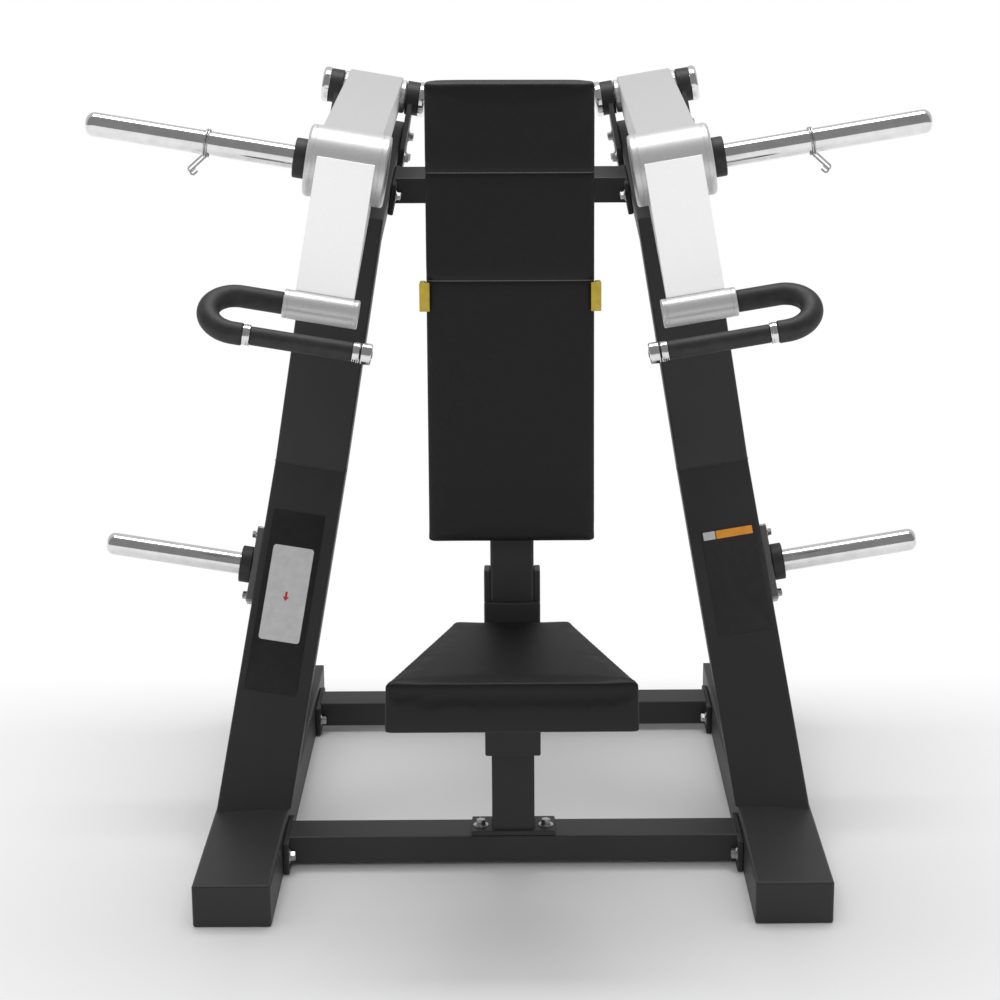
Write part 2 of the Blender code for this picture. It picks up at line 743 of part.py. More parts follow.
def seat_carriage(slide):
    """The sleeve that slides on the column, with two cheeks above it and a hole for the pin."""
    half = CARRIAGE_W / 2
    wall = half - COLUMN_W / 2
    outer = block((-half, -wall, rise(CARRIAGE_Z[0])), (half, COLUMN_D + wall, rise(CARRIAGE_Z[1])), 0.004)
    cheeks = [
        block(
            (min(s * half, s * (half - wall)), 0.006, rise(CHEEK_Z[0])),
            (max(s * half, s * (half - wall)), COLUMN_D - 0.004, rise(CHEEK_Z[1])),
            0.002,
            1,
        )
        for s in (-1, 1)
    ]
    inner = block(
        (-COLUMN_W / 2 - GAP, -GAP, rise(0.2)),
        (COLUMN_W / 2 + GAP, COLUMN_D + GAP, rise(0.7)),
    )
    pin_hole = rounded_rod(0.03, 0.09, 0.0064, 0.001, steps=12, centre=(0.035, rise(PIN_Z)))
    sleeve = cut(union(outer, *cheeks), inner, pin_hole)
    add_part("seat_carriage", sleeve, "powder_coat", 1, slide)


def seat_pin(slide):
    """The sprung pin that locks the carriage, with the knob that pulls it."""
    holder = empty("seat_pin_slide", (0, 0.035, rise(PIN_Z)), slide)
    low = COLUMN_W / 2 + 2 * GAP
    outside = CARRIAGE_W / 2 + GAP
    shank = rounded_rod(low, outside + 0.004, 0.0060, 0.001, steps=12)
    knob = rounded_rod(outside, outside + 0.0125, 0.0125, 0.003, 0.001, 16)
    add_part("seat_pin", union(shank, knob), "zinc", 1, holder)


def seat(slide):
    """The seat's steel support and its cushion, level while the column leans."""
    matrix = slide.matrix_world.inverted()
    low = SEAT_TOP - SEAT_T

    def carriage_face(height):
        """World Y just in front of the carriage at this height."""
        wall = (CARRIAGE_W - COLUMN_W) / 2
        return (slide.matrix_world @ Vector((0, -wall - 2 * GAP, rise(height)))).y

    outline = [
        (back(SEAT_FRONT + 0.096), low - 0.022),
        (back(SEAT_FRONT + 0.236), low - 0.026),
        (carriage_face(low - 0.150) - 0.010, low - 0.150),
        (carriage_face(low - 0.150), low - 0.150),
        (carriage_face(low - 0.004), low - 0.004),
        (back(SEAT_FRONT + 0.096), low - 0.004),
    ]
    support = prism(outline, -SEAT_FRAME_W / 2, SEAT_FRAME_W / 2, 0.003, 1)
    bmesh.ops.transform(support, matrix=matrix, verts=support.verts)
    add_part("seat_frame", support, "powder_coat", 1, slide)

    corners = [
        (-SEAT_FRONT_W / 2, back(SEAT_FRONT)),
        (SEAT_FRONT_W / 2, back(SEAT_FRONT)),
        (SEAT_REAR_W / 2, back(SEAT_REAR)),
        (-SEAT_REAR_W / 2, back(SEAT_REAR)),
    ]
    bm = bmesh.new()
    face = bm.faces.new([bm.verts.new((x, y, low)) for x, y in corners])
    made = bmesh.ops.extrude_face_region(bm, geom=[face])
    raised = [item for item in made["geom"] if isinstance(item, bmesh.types.BMVert)]
    bmesh.ops.translate(bm, vec=(0, 0, SEAT_T), verts=raised)
    bmesh.ops.recalc_face_normals(bm, faces=bm.faces)
    soften(bm, 0.012, 2)
    bmesh.ops.transform(bm, matrix=matrix, verts=bm.verts)
    add_part("seat_pad", bm, "vinyl", 1, slide)


def back_rest(lean):
    """The back cushion on its board, both parallel to the column."""
    low, high = rise(PAD_Z[0]), rise(PAD_Z[1])
    board_front = -GAP - BOARD_T
    pad = block(
        (-PAD_W / 2, board_front - GAP - PAD_T, low), (PAD_W / 2, board_front - GAP, high), 0.016, 2
    )
    add_part("back_pad", pad, "vinyl", 1, lean)
    board = block((-0.150, board_front, low + 0.035), (0.150, -GAP, high - 0.035), 0.003, 1)
    add_part("back_board", board, "board", 1, lean)


def adjust_lever(lean):
    """The lever behind the backrest: a rod in the column's lug, two straps and two grip plates."""
    axis_y = COLUMN_D + 0.018
    pivot = empty("lever_axis", (0, axis_y, lever_rise()), lean)
    inner, outer = PAD_W / 2 + 0.0015, PAD_W / 2 + 0.0075
    rod = rounded_rod(-inner - 0.003, inner + 0.003, 0.008, 0.001, steps=18)
    front = -BOARD_T - PAD_T + 0.008 - axis_y
    pieces = [rod]
    for s in (-1, 1):
        low, high = sorted((s * inner, s * outer))
        pieces.append(block((low, front + 0.01, -0.013), (high, 0.013, 0.013), 0.002, 1))
        low, high = sorted((s * inner, s * TAB_X))
        pieces.append(block((low, front, -0.0295), (high, front + 0.034, 0.0295), 0.003, 1))
    add_part("adjust_lever", union(*pieces), "yellow_plastic", 1, pivot)


def build():
    clear_scene()
    for name, side in (("left", -1), ("right", 1)):
        frame = empty(name + "_frame", (side * FOOT_X, 0, 0), turn=-side * LEAN)
        axis = empty(name + "_arm_axis", (0, *in_plane(PIVOT)), frame)
        base_rail(name, side)
        front_post(name, side, frame)
        top_rail(name, side, frame)
        rear_post(name, side, frame)
        pivots(name, side, frame)
        arm_beam(name, side, axis)
        arm_housing(name, side, axis)
        drop_tube(name, side, axis)
        handle(name, side, axis)
        weight_horn(name, side, axis)
        spring_clip(name, side, axis)
        storage_horn(name, side, frame)
        arm_stop(name, side, frame)
    for name, distance in BAR_BACKS.items():
        cross_bar(name, distance)
    top_cross_beam()
    lean = empty("column_lean", (0, back(COLUMN_BACK), COLUMN_FOOT_Z), turn=-COLUMN_LEAN, axis="X")
    slide = empty("seat_slide", (0, 0, 0), lean)
    bpy.context.view_layer.update()
    column(lean)
    seat_carriage(slide)
    seat_pin(slide)
    seat(slide)
    back_rest(lean)
    adjust_lever(lean)


build()
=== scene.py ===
"""Looks of a shoulder press machine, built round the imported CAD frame.

Each side frame stands in a leaning plane. Pieces on it are built in that plane's own axes,
with the arm's pivot as the origin: x outwards, y to the rear, z up along the plane.
"""

import json
import math

import bmesh
import bpy
import numpy as np
from mathutils import Matrix, Vector
from mathutils.bvhtree import BVHTree


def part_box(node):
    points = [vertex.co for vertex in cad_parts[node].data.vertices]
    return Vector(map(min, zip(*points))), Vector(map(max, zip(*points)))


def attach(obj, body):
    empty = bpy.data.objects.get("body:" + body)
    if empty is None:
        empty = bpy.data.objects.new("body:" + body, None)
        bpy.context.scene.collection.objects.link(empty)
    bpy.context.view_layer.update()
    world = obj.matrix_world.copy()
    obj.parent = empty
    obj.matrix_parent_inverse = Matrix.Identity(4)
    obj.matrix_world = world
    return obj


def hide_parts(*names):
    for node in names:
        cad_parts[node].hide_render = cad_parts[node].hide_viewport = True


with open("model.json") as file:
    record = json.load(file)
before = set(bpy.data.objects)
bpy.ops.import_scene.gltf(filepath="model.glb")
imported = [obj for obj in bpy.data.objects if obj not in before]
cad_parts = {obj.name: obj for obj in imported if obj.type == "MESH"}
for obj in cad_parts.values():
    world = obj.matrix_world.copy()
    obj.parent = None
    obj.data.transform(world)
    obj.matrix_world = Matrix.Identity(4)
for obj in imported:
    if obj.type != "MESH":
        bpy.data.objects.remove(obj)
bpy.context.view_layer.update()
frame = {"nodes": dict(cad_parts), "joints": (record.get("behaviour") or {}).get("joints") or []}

JOINTS = {joint["name"]: joint for joint in frame["joints"]}
SIDES = {"left": -1, "right": 1}
MM = 0.001
CLEAR = 0.4 * MM
SHARP_EDGE = math.radians(30)
FRAME_BOLT = 19 * MM
TOP_RAIL_SLOPE = math.radians(17)


# Materials


class Shader:
    """A Principled material and the few node patterns that the finishes share."""

    def __init__(self, name, colour, roughness, metallic=0.0):
        self.material = bpy.data.materials.new(name)
        self.material.use_nodes = True
        self.tree = self.material.node_tree
        self.surface = self.tree.nodes["Principled BSDF"]
        self.surface.inputs["Base Color"].default_value = (*colour, 1)
        self.surface.inputs["Roughness"].default_value = roughness
        self.surface.inputs["Metallic"].default_value = metallic
        self.material.diffuse_color = (*colour, 1)
        self.place = self.tree.nodes.new("ShaderNodeTexCoord").outputs["Object"]

    def node(self, kind, **values):
        made = self.tree.nodes.new("ShaderNode" + kind)
        for key, value in values.items():
            if hasattr(made, key):
                setattr(made, key, value)
            else:
                made.inputs[key.replace("_", " ")].default_value = value
        return made

    def link(self, start, end):
        self.tree.links.new(start, end)

    def stretched(self, scale):
        mapping = self.node("Mapping")
        mapping.inputs["Scale"].default_value = scale
        self.link(self.place, mapping.inputs["Vector"])
        return mapping.outputs["Vector"]

    def noise(self, scale, detail=2.0, roughness=0.5, place=None):
        made = self.node("TexNoise", Scale=scale, Detail=detail, Roughness=roughness)
        self.link(place or self.place, made.inputs["Vector"])
        return made.outputs["Fac"]

    def cells(self, scale, place=None):
        made = self.node("TexVoronoi", Scale=scale)
        self.link(place or self.place, made.inputs["Vector"])
        return made

    def spread(self, value, low, high, from_low=0.3, from_high=0.7):
        made = self.node("MapRange", From_Min=from_low, From_Max=from_high, To_Min=low, To_Max=high)
        self.link(value, made.inputs["Value"])
        return made.outputs["Result"]

    def mix(self, share, first, second):
        """A blend of two colours; either may be another node's output."""
        made = self.tree.nodes.new("ShaderNodeMix")
        made.data_type = "RGBA"
        for socket, colour in ((made.inputs[6], first), (made.inputs[7], second)):
            if isinstance(colour, bpy.types.NodeSocket):
                self.link(colour, socket)
            else:
                socket.default_value = (*colour, 1)
        if isinstance(share, bpy.types.NodeSocket):
            self.link(share, made.inputs[0])
        else:
            made.inputs[0].default_value = share
        return made.outputs[2]

    def bump(self, height, strength, distance, normal=None):
        made = self.node("Bump", Strength=strength, Distance=distance)
        self.link(height, made.inputs["Height"])
        if normal:
            self.link(normal, made.inputs["Normal"])
        self.link(made.outputs["Normal"], self.surface.inputs["Normal"])
        return made.outputs["Normal"]

    def edges(self, radius):
        """0 on flat faces, rising to 1 on edges and corners."""
        bevel = self.node("Bevel", samples=4, Radius=radius)
        flat = self.node("NewGeometry")
        dot = self.node("VectorMath", operation="DOT_PRODUCT")
        self.link(bevel.outputs["Normal"], dot.inputs[0])
        self.link(flat.outputs["Normal"], dot.inputs[1])
        return self.spread(dot.outputs["Value"], 1.0, 0.0, 0.86, 0.995)

    def set(self, name, output):
        self.link(output, self.surface.inputs[name])


def powder_coat():
    """Charcoal powder coat: orange-peel bump, small shade changes, and thin painted highlights along the
    edges.
    """
    s = Shader("frame_coat", (0.024, 0.024, 0.025), 0.5)
    cloud = s.spread(s.noise(5.0, 3.0), 0.0, 1.0)
    base = s.mix(cloud, (0.0185, 0.0185, 0.0195), (0.0235, 0.0235, 0.0245))
    fleck = s.spread(s.noise(2600.0, 1.0), 0.0, 0.25, 0.55, 0.75)
    base = s.mix(fleck, base, (0.07, 0.07, 0.072))
    # Every edge is painted lighter in patches: a painted highlight along the edges.
    painted_edge_highlight = s.edges(0.0016)
    highlight_patches = s.spread(s.noise(55.0, 4.0), 0.10, 0.42)
    share = s.node("Math", operation="MULTIPLY")
    s.link(painted_edge_highlight, share.inputs[0])
    s.link(highlight_patches, share.inputs[1])
    s.set("Base Color", s.mix(share.outputs[0], base, (0.20, 0.20, 0.205)))
    s.set("Roughness", s.spread(s.noise(900.0, 2.0), 0.42, 0.58))
    s.surface.inputs["Specular IOR Level"].default_value = 0.42
    s.bump(s.noise(1500.0, 2.0), 0.22, 0.0006)
    return s.material


def silver_paint():
    """Silver metallic paint: fine bright flakes under a soft clear coat."""
    s = Shader("arm_silver", (0.68, 0.68, 0.685), 0.36, 0.66)
    flakes = s.cells(1500.0)
    tone = s.spread(flakes.outputs["Color"], 0.0, 1.0, 0.1, 0.9)
    base = s.mix(tone, (0.53, 0.53, 0.535), (0.73, 0.73, 0.735))
    glint = s.spread(s.noise(2300.0, 1.0), 0.0, 0.6, 0.62, 0.76)
    s.set("Base Color", s.mix(glint, base, (0.98, 0.98, 0.98)))
    s.set("Roughness", s.spread(flakes.outputs["Distance"], 0.30, 0.42, 0.0, 0.6))
    s.surface.inputs["Coat Weight"].default_value = 0.10
    s.surface.inputs["Coat Roughness"].default_value = 0.3
    s.bump(s.noise(1900.0, 2.0), 0.16, 0.0005)
    return s.material


def pearl_paint():
    """Bright silver lacquer on the drop tubes: pale, satin, with a fine sparkle."""
    s = Shader("arm_pearl", (0.95, 0.95, 0.955), 0.4, 0.0)
    flakes = s.cells(1500.0)
    tone = s.spread(flakes.outputs["Color"], 0.0, 1.0, 0.1, 0.9)
    base = s.mix(tone, (0.90, 0.90, 0.905), (0.99, 0.99, 0.99))
    glint = s.spread(s.noise(2300.0, 1.0), 0.0, 0.5, 0.62, 0.76)
    s.set("Base Color", s.mix(glint, base, (1.0, 1.0, 1.0)))
    s.set("Roughness", s.spread(flakes.outputs["Distance"], 0.30, 0.42, 0.0, 0.6))
    s.surface.inputs["Coat Weight"].default_value = 0.3
    s.bump(s.noise(1900.0, 2.0), 0.12, 0.0005)
    return s.material


def chrome():
    """Chrome plate, with faint turning marks and handling haze."""
    s = Shader("chrome", (0.80, 0.80, 0.81), 0.1, 1.0)
    haze = s.noise(38.0, 4.0, 0.6)
    marks = s.noise(60.0, 3.0, 0.6, s.stretched((14, 1.2, 1.2)))
    s.set("Base Color", s.mix(s.spread(haze, 0.0, 1.0), (0.74, 0.74, 0.75), (0.86, 0.86, 0.865)))
    s.set("Roughness", s.spread(marks, 0.07, 0.17))
    s.bump(marks, 0.03, 0.0004)
    return s.material


def zinc():
    """Bright zinc plate: mottled and slightly dull."""
    s = Shader("zinc", (0.52, 0.52, 0.53), 0.3, 1.0)
    spangle = s.cells(420.0)
    s.set("Base Color", s.mix(spangle.outputs["Color"], (0.44, 0.44, 0.45), (0.66, 0.66, 0.66)))
    s.set("Roughness", s.spread(s.noise(260.0, 3.0), 0.22, 0.42))
    s.bump(s.noise(700.0, 2.0), 0.08, 0.0004)
    return s.material


def bearing_steel():
    s = Shader("bearing_steel", (0.25, 0.25, 0.26), 0.35, 1.0)
    rings = s.noise(120.0, 3.0, 0.6, s.stretched((30, 1, 1)))
    s.set("Base Color", s.mix(s.spread(rings, 0.0, 1.0), (0.18, 0.18, 0.185), (0.34, 0.34, 0.35)))
    s.set("Roughness", s.spread(rings, 0.26, 0.45))
    return s.material


def rubber():
    """Dense black rubber with a dry, slightly mottled surface."""
    s = Shader("rubber", (0.018, 0.018, 0.018), 0.62)
    dust = s.spread(s.noise(45.0, 5.0, 0.6), 0.0, 1.0, 0.35, 0.75)
    s.set("Base Color", s.mix(dust, (0.0125, 0.0125, 0.0128), (0.024, 0.024, 0.0245)))
    s.set("Roughness", s.spread(s.noise(800.0, 2.0), 0.46, 0.66))
    s.bump(s.noise(1300.0, 3.0, 0.65), 0.30, 0.0006)
    return s.material


def vinyl():
    """Upholstery vinyl: a pebbled leather grain of small rounded cells, and soft creasing."""
    s = Shader("vinyl", (0.0135, 0.0135, 0.014), 0.42)
    warp = s.node("TexNoise", Scale=260.0, Detail=1.0)
    s.link(s.place, warp.inputs["Vector"])
    bend = s.node("VectorMath", operation="MULTIPLY_ADD")
    s.link(warp.outputs["Color"], bend.inputs[0])
    bend.inputs[1].default_value = (0.0016, 0.0016, 0.0016)
    s.link(s.place, bend.inputs[2])
    grain = s.cells(720.0, bend.outputs["Vector"])
    grain.feature = "F1"
    pebble = s.spread(grain.outputs["Distance"], 1.0, 0.0, 0.05, 0.65)
    shade = s.spread(s.noise(7.0, 3.0), 0.0, 1.0)
    base = s.mix(shade, (0.0085, 0.0085, 0.0088), (0.0112, 0.0112, 0.0116))
    # The hollows between the pebbles are painted darker: painted shade in the grain.
    s.set("Base Color", s.mix(pebble, (0.0062, 0.0062, 0.0064), base))
    s.set("Roughness", s.spread(pebble, 0.50, 0.38, 0.0, 1.0))
    s.surface.inputs["Specular IOR Level"].default_value = 0.30
    crease = s.bump(s.noise(22.0, 4.0, 0.6), 0.10, 0.004)
    s.bump(pebble, 0.30, 0.0005, crease)
    return s.material


def welt():
    """The lighter thread line that closes a seam."""
    s = Shader("welt", (0.09, 0.09, 0.088), 0.55)
    twist = s.noise(900.0, 2.0)
    s.set("Base Color", s.mix(s.spread(twist, 0.0, 1.0), (0.055, 0.055, 0.054), (0.14, 0.14, 0.136)))
    s.bump(twist, 0.4, 0.0005)
    return s.material


def board_cover():
    s = Shader("board", (0.018, 0.018, 0.018), 0.55)
    grain = s.noise(420.0, 4.0, 0.6)
    s.set("Base Color", s.mix(s.spread(grain, 0.0, 1.0), (0.013, 0.013, 0.013), (0.023, 0.023, 0.023)))
    s.set("Roughness", s.spread(grain, 0.48, 0.64))
    s.bump(grain, 0.35, 0.0006)
    return s.material


def moulded(name, dark, light, roughness=0.42):
    """Moulded plastic: a fine spark-eroded texture and small shade changes."""
    s = Shader(name, light, roughness)
    s.set("Base Color", s.mix(s.spread(s.noise(60.0, 3.0), 0.0, 1.0), dark, light))
    s.set("Roughness", s.spread(s.noise(700.0, 2.0), roughness - 0.06, roughness + 0.08))
    s.bump(s.noise(1100.0, 2.0), 0.12, 0.0004)
    return s.material


FINISH = {
    "frame_coat": powder_coat(),
    "arm_silver": silver_paint(),
    "arm_pearl": pearl_paint(),
    "chrome": chrome(),
    "zinc": zinc(),
    "bearing_steel": bearing_steel(),
    "rubber": rubber(),
    "vinyl": vinyl(),
    "board": board_cover(),
    "yellow_plastic": moulded("yellow_plastic", (0.40, 0.29, 0.022), (0.50, 0.37, 0.034)),
    "welt": welt(),
    "black_plastic": moulded("black_plastic", (0.014, 0.014, 0.014), (0.022, 0.022, 0.022)),
    "plate_black": moulded("plate_black", (0.006, 0.006, 0.006), (0.010, 0.010, 0.010), 0.34),
    "plate_grey": moulded("plate_grey", (0.44, 0.44, 0.44), (0.50, 0.50, 0.50), 0.38),
    "plate_orange": moulded("plate_orange", (0.62, 0.24, 0.02), (0.72, 0.29, 0.03), 0.38),
    "plate_red": moulded("plate_red", (0.40, 0.012, 0.012), (0.50, 0.016, 0.016), 0.38),
    "plate_charcoal": moulded("plate_charcoal", (0.016, 0.015, 0.015), (0.020, 0.019, 0.019), 0.36),
}


# Shapes, as bmeshes


def soften(bm, width, segments=3, keep=None):
    """Rounds the edges sharper than SHARP_EDGE, or those of them that keep accepts."""
    edges = [
        edge
        for edge in bm.edges
        if len(edge.link_faces) == 2
        and edge.calc_face_angle(0) > SHARP_EDGE
        and (keep is None or keep(edge))
    ]
    bmesh.ops.bevel(bm, geom=edges, offset=width, segments=segments, profile=0.5, affect="EDGES")
    return bm


def block(low, high, edge=0.0, segments=3):
    bm = bmesh.new()
    bmesh.ops.create_cube(bm, size=1.0)
    low, high = Vector(low), Vector(high)
    bmesh.ops.scale(bm, vec=high - low, verts=bm.verts)
    bmesh.ops.translate(bm, vec=(low + high) / 2, verts=bm.verts)
    return soften(bm, edge, segments) if edge else bm


def slab(outline, thickness, edge=0.0):
    """An outline of (x, y) points, raised along z and softened on its upper rim."""
    bm = bmesh.new()
    face = bm.faces.new([bm.verts.new((x, y, 0)) for x, y in outline])
    made = bmesh.ops.extrude_face_region(bm, geom=[face])
    raised = [item for item in made["geom"] if isinstance(item, bmesh.types.BMVert)]
    bmesh.ops.translate(bm, vec=(0, 0, thickness), verts=raised)
    bmesh.ops.recalc_face_normals(bm, faces=bm.faces)
    if edge:
        rim = thickness * 0.99
        soften(bm, edge, 2, lambda e: min(v.co.z for v in e.verts) > rim)
    return bm


def round_rect(width, height, radius, centre=(0.0, 0.0), steps=6):
    """Outline of a rectangle with rounded corners."""
    points = []
    for sx, sy, start in ((1, 1, 0), (-1, 1, 90), (-1, -1, 180), (1, -1, 270)):
        for i in range(steps + 1):
            angle = math.radians(start + 90 * i / steps)
            x = sx * (width / 2 - radius) + radius * math.cos(angle)
            y = sy * (height / 2 - radius) + radius * math.sin(angle)
            points.append((centre[0] + x, centre[1] + y))
    return points


def turned(profile, centre=(0.0, 0.0), steps=64, ring=False):
    """A profile of (x, radius) points spun about the x axis through centre (y, z)."""
    bm = bmesh.new()
    verts = [bm.verts.new((x, 0, radius)) for x, radius in profile]
    pairs = list(zip(verts, verts[1:]))
    if ring:
        pairs.append((verts[-1], verts[0]))
    edges = [bm.edges.new(pair) for pair in pairs]
    bmesh.ops.spin(
        bm, geom=verts + edges, cent=(0, 0, 0), axis=(1, 0, 0), angle=2 * math.pi, steps=steps
    )
    bmesh.ops.remove_doubles(bm, verts=bm.verts, dist=1e-6)
    bmesh.ops.recalc_face_normals(bm, faces=bm.faces)
    bmesh.ops.translate(bm, vec=(0, *centre), verts=bm.verts)
    return bm


def rim(x, radius, size, start, end, count=6):
    """Profile points round a rim, from one angle to another in degrees."""
    angles = [math.radians(start + (end - start) * i / count) for i in range(count + 1)]
    return [(x + size * math.cos(a), radius + size * math.sin(a)) for a in angles]


def groove(x, radius, depth, half):
    """Profile points of a fine turned groove: a notch with sloping sides and a flat floor."""
    floor, flat = radius - depth, half / 2
    return [(x - half, radius), (x - flat, floor), (x + flat, floor), (x + half, radius)]


def rod(low, high, radius, low_edge, high_edge, centre=(0.0, 0.0), steps=64):
    """A solid round bar along x with rounded ends."""
    profile = [(low, 0.0)]
    profile += rim(low + low_edge, radius - low_edge, low_edge, 180, 90)
    profile += rim(high - high_edge, radius - high_edge, high_edge, 90, 0)
    profile.append((high, 0.0))
    return turned(profile, centre, steps)


def ring(low, high, outer, inner, edge, centre=(0.0, 0.0), steps=64):
    """A round bush along x with rounded outer rims."""
    profile = [(low, inner)]
    profile += rim(low + edge, outer - edge, edge, 180, 90)
    profile += rim(high - edge, outer - edge, edge, 90, 0)
    profile.append((high, inner))
    return turned(profile, centre, steps, ring=True)


def rounded_end(end, inner, radius, nose):
    """Points and radii of a bar's rounded end, from its face inwards."""
    along = (inner - end).normalized()
    angles = [math.radians(22.5 * i) for i in range(5)]
    return [(end + along * nose * (1 - math.cos(a)), radius - nose * (1 - math.sin(a))) for a in angles]


def skin(bm, rings):
    """Closes a row of rings of vertices into a solid."""
    sides = len(rings[0])
    for first, second in zip(rings, rings[1:]):
        for k in range(sides):
            n = (k + 1) % sides
            bm.faces.new((first[k], first[n], second[n], second[k]))
    bm.faces.new(rings[0])
    bm.faces.new(rings[-1])
    bmesh.ops.recalc_face_normals(bm, faces=bm.faces)
    return bm


def swept(path, radius, sides=24, nose=0.0):
    """A round bar along a list of points; nose rounds its ends."""
    points = [Vector(p) for p in path]
    radii = [radius] * len(points)
    if nose:
        first = rounded_end(points[0], points[1], radius, nose)
        last = rounded_end(points[-1], points[-2], radius, nose)[::-1]
        points = [p for p, _ in first] + points[1:-1] + [p for p, _ in last]
        radii = [r for _, r in first] + radii[1:-1] + [r for _, r in last]
    bm = bmesh.new()
    tangent = (points[1] - points[0]).normalized()
    up = tangent.orthogonal().normalized()
    rings = []
    for i, point in enumerate(points):
        before = points[max(i - 1, 0)]
        after = points[min(i + 1, len(points) - 1)]
        heading = (after - before).normalized()
        up = (tangent.rotation_difference(heading) @ up).normalized()
        tangent = heading
        across = tangent.cross(up)
        angles = [2 * math.pi * k / sides for k in range(sides)]
        rings.append(
            [bm.verts.new(point + radii[i] * (up * math.cos(a) + across * math.sin(a))) for a in angles]
        )
    return skin(bm, rings)


def joined(shapes):
    """Several bmeshes as one, each still its own island."""
    whole = bmesh.new()
    for shape in shapes:
        mesh = bpy.data.meshes.new("joined")
        shape.to_mesh(mesh)
        shape.free()
        whole.from_mesh(mesh)
        bpy.data.meshes.remove(mesh)
    return whole


def hexagon(x, width, height, chamfer=0.12):
    """A hexagonal head along x, standing on x, with its outer corners turned off."""
    corner = width / math.sqrt(3)
    bm = bmesh.new()
    rings = []
    for depth, share in ((0.0, 1.0), (1 - chamfer, 1.0), (1.0, 0.88)):
        angles = [math.radians(60 * k + 30) for k in range(6)]
        rings.append(
            [
                bm.verts.new((x + depth * height, corner * share * math.cos(a), corner * share * math.sin(a)))
                for a in angles
            ]
        )
    return skin(bm, rings)


def bolt(place, direction, width=0.013, turn=0.0):
    """A hex head on a spring washer and a flat washer, standing on a surface."""
    flat = ring(0.0001, 0.0017, width * 0.86, width * 0.3, 0.0004, steps=32)
    spring = ring(0.0018, 0.0036, width * 0.66, width * 0.3, 0.0004, steps=32)
    head = hexagon(0.0037, width, width * 0.5)
    boss = rod(0.0037 + width * 0.48, 0.0037 + width * 0.53, width * 0.36, 0.0002, 0.0002, steps=24)
    shape = joined([flat, spring, head, boss])
    heading = Vector((1, 0, 0)).rotation_difference(Vector(direction).normalized()).to_matrix().to_4x4()
    matrix = Matrix.Translation(Vector(place)) @ heading @ Matrix.Rotation(turn, 4, "X")
    bmesh.ops.transform(shape, matrix=matrix, verts=shape.verts)
    return shape


# Pieces


def add_piece(name, bm, finish, body, matrix=None, slot=None, replaces=(), sharp=32):
    """Makes bm a piece with a finish, standing for CAD nodes if any, that rides on a body."""
    if matrix is not None:
        bmesh.ops.transform(bm, matrix=matrix, verts=bm.verts)
    bmesh.ops.recalc_face_normals(bm, faces=bm.faces)
    mesh = bpy.data.meshes.new(name)
    bm.to_mesh(mesh)
    bm.free()
    mesh.materials.append(FINISH[finish])
    mesh.shade_smooth()
    mesh.set_sharp_from_angle(angle=math.radians(sharp))
    obj = bpy.data.objects.new(name, mesh)
    bpy.context.scene.collection.objects.link(obj)
    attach(obj, body)
    if replaces:
        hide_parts(*replaces)


def vertices(node):
    mesh = frame["nodes"][node].data
    flat = np.zeros(len(mesh.vertices) * 3, np.float32)
    mesh.vertices.foreach_get("co", flat)
    return flat.reshape(-1, 3).astype(float)


class SideFrame:
    """The leaning plane of one side, read from the arm's pivot joint."""

    def __init__(self, name, sign):
        joint = JOINTS[name + "_arm_pivot"]
        outward = Vector(joint["axis"]).normalized() * -sign
        upward = Vector((-sign * abs(outward.z), 0, abs(outward.x)))
        self.name = name
        self.arm = name + "_arm"
        self.lean = math.atan2(abs(outward.z), abs(outward.x))
        self.matrix = Matrix.Translation(Vector(joint["pos_m"])) @ Matrix(
            (
                (outward.x, 0, upward.x, 0),
                (outward.y, 1, upward.y, 0),
                (outward.z, 0, upward.z, 0),
                (0, 0, 0, 1),
            )
        )

    def points(self, node):
        inverse = np.array(self.matrix.inverted())
        found = vertices(f"{self.name}_{node}")
        return found @ inverse[:3, :3].T + inverse[:3, 3]

    def box(self, node):
        found = self.points(node)
        return Vector(found.min(0)), Vector(found.max(0))

    def add(self, name, bm, finish, body="frame", replaces=(), **options):
        stands_for = [f"{self.name}_{node}" for node in replaces]
        add_piece(f"{self.name}_{name}", bm, finish, body, self.matrix, replaces=stands_for, **options)


def middle(low, high):
    """Centre (y, z) of a round part whose axis is x."""
    return ((low.y + high.y) / 2, (low.z + high.z) / 2)


# Round parts on the arms


def housing(side):
    """The round drum at the arm's front, with stepped rims and a dark cover in its inner end."""
    low, high = side.box("arm_housing")
    centre = middle(low, high)
    radius = (high.z - low.z) / 2
    bore = radius * 0.34
    outer_edge, groove_at = 9 * MM, 14.6 * MM
    inner_edge = outer_edge * 0.6
    x0, x1 = low.x, high.x
    profile = [(x0 + 0.006, radius - 0.012), (x0 + 0.0006, radius - 0.0095)]
    profile += rim(x0 + inner_edge, radius - inner_edge, inner_edge, 180, 90)
    profile += groove(x0 + groove_at, radius, 0.9 * MM, 1.6 * MM)
    profile += groove(x1 - groove_at, radius, 0.9 * MM, 1.6 * MM)
    profile += rim(x1 - outer_edge, radius - outer_edge, outer_edge, 90, 0)
    profile += [(x1, bore), (x0 + 0.006, bore)]
    drum = turned(profile, centre, 96, ring=True)
    side.add("arm_housing_shell", drum, "arm_silver", side.arm, ["arm_housing"])
    cover = [(x0 + 0.0062, 0.0), (x0 + 0.0020, 0.0), (x0 + 0.0022, 0.014), (x0 + 0.0034, 0.016)]
    cover += [(x0 + 0.0026, radius - 0.018), (x0 + 0.0040, radius - 0.0135), (x0 + 0.0062, radius - 0.0130)]
    side.add("housing_cover", turned(cover, centre, 72), "black_plastic", side.arm, slot="board")


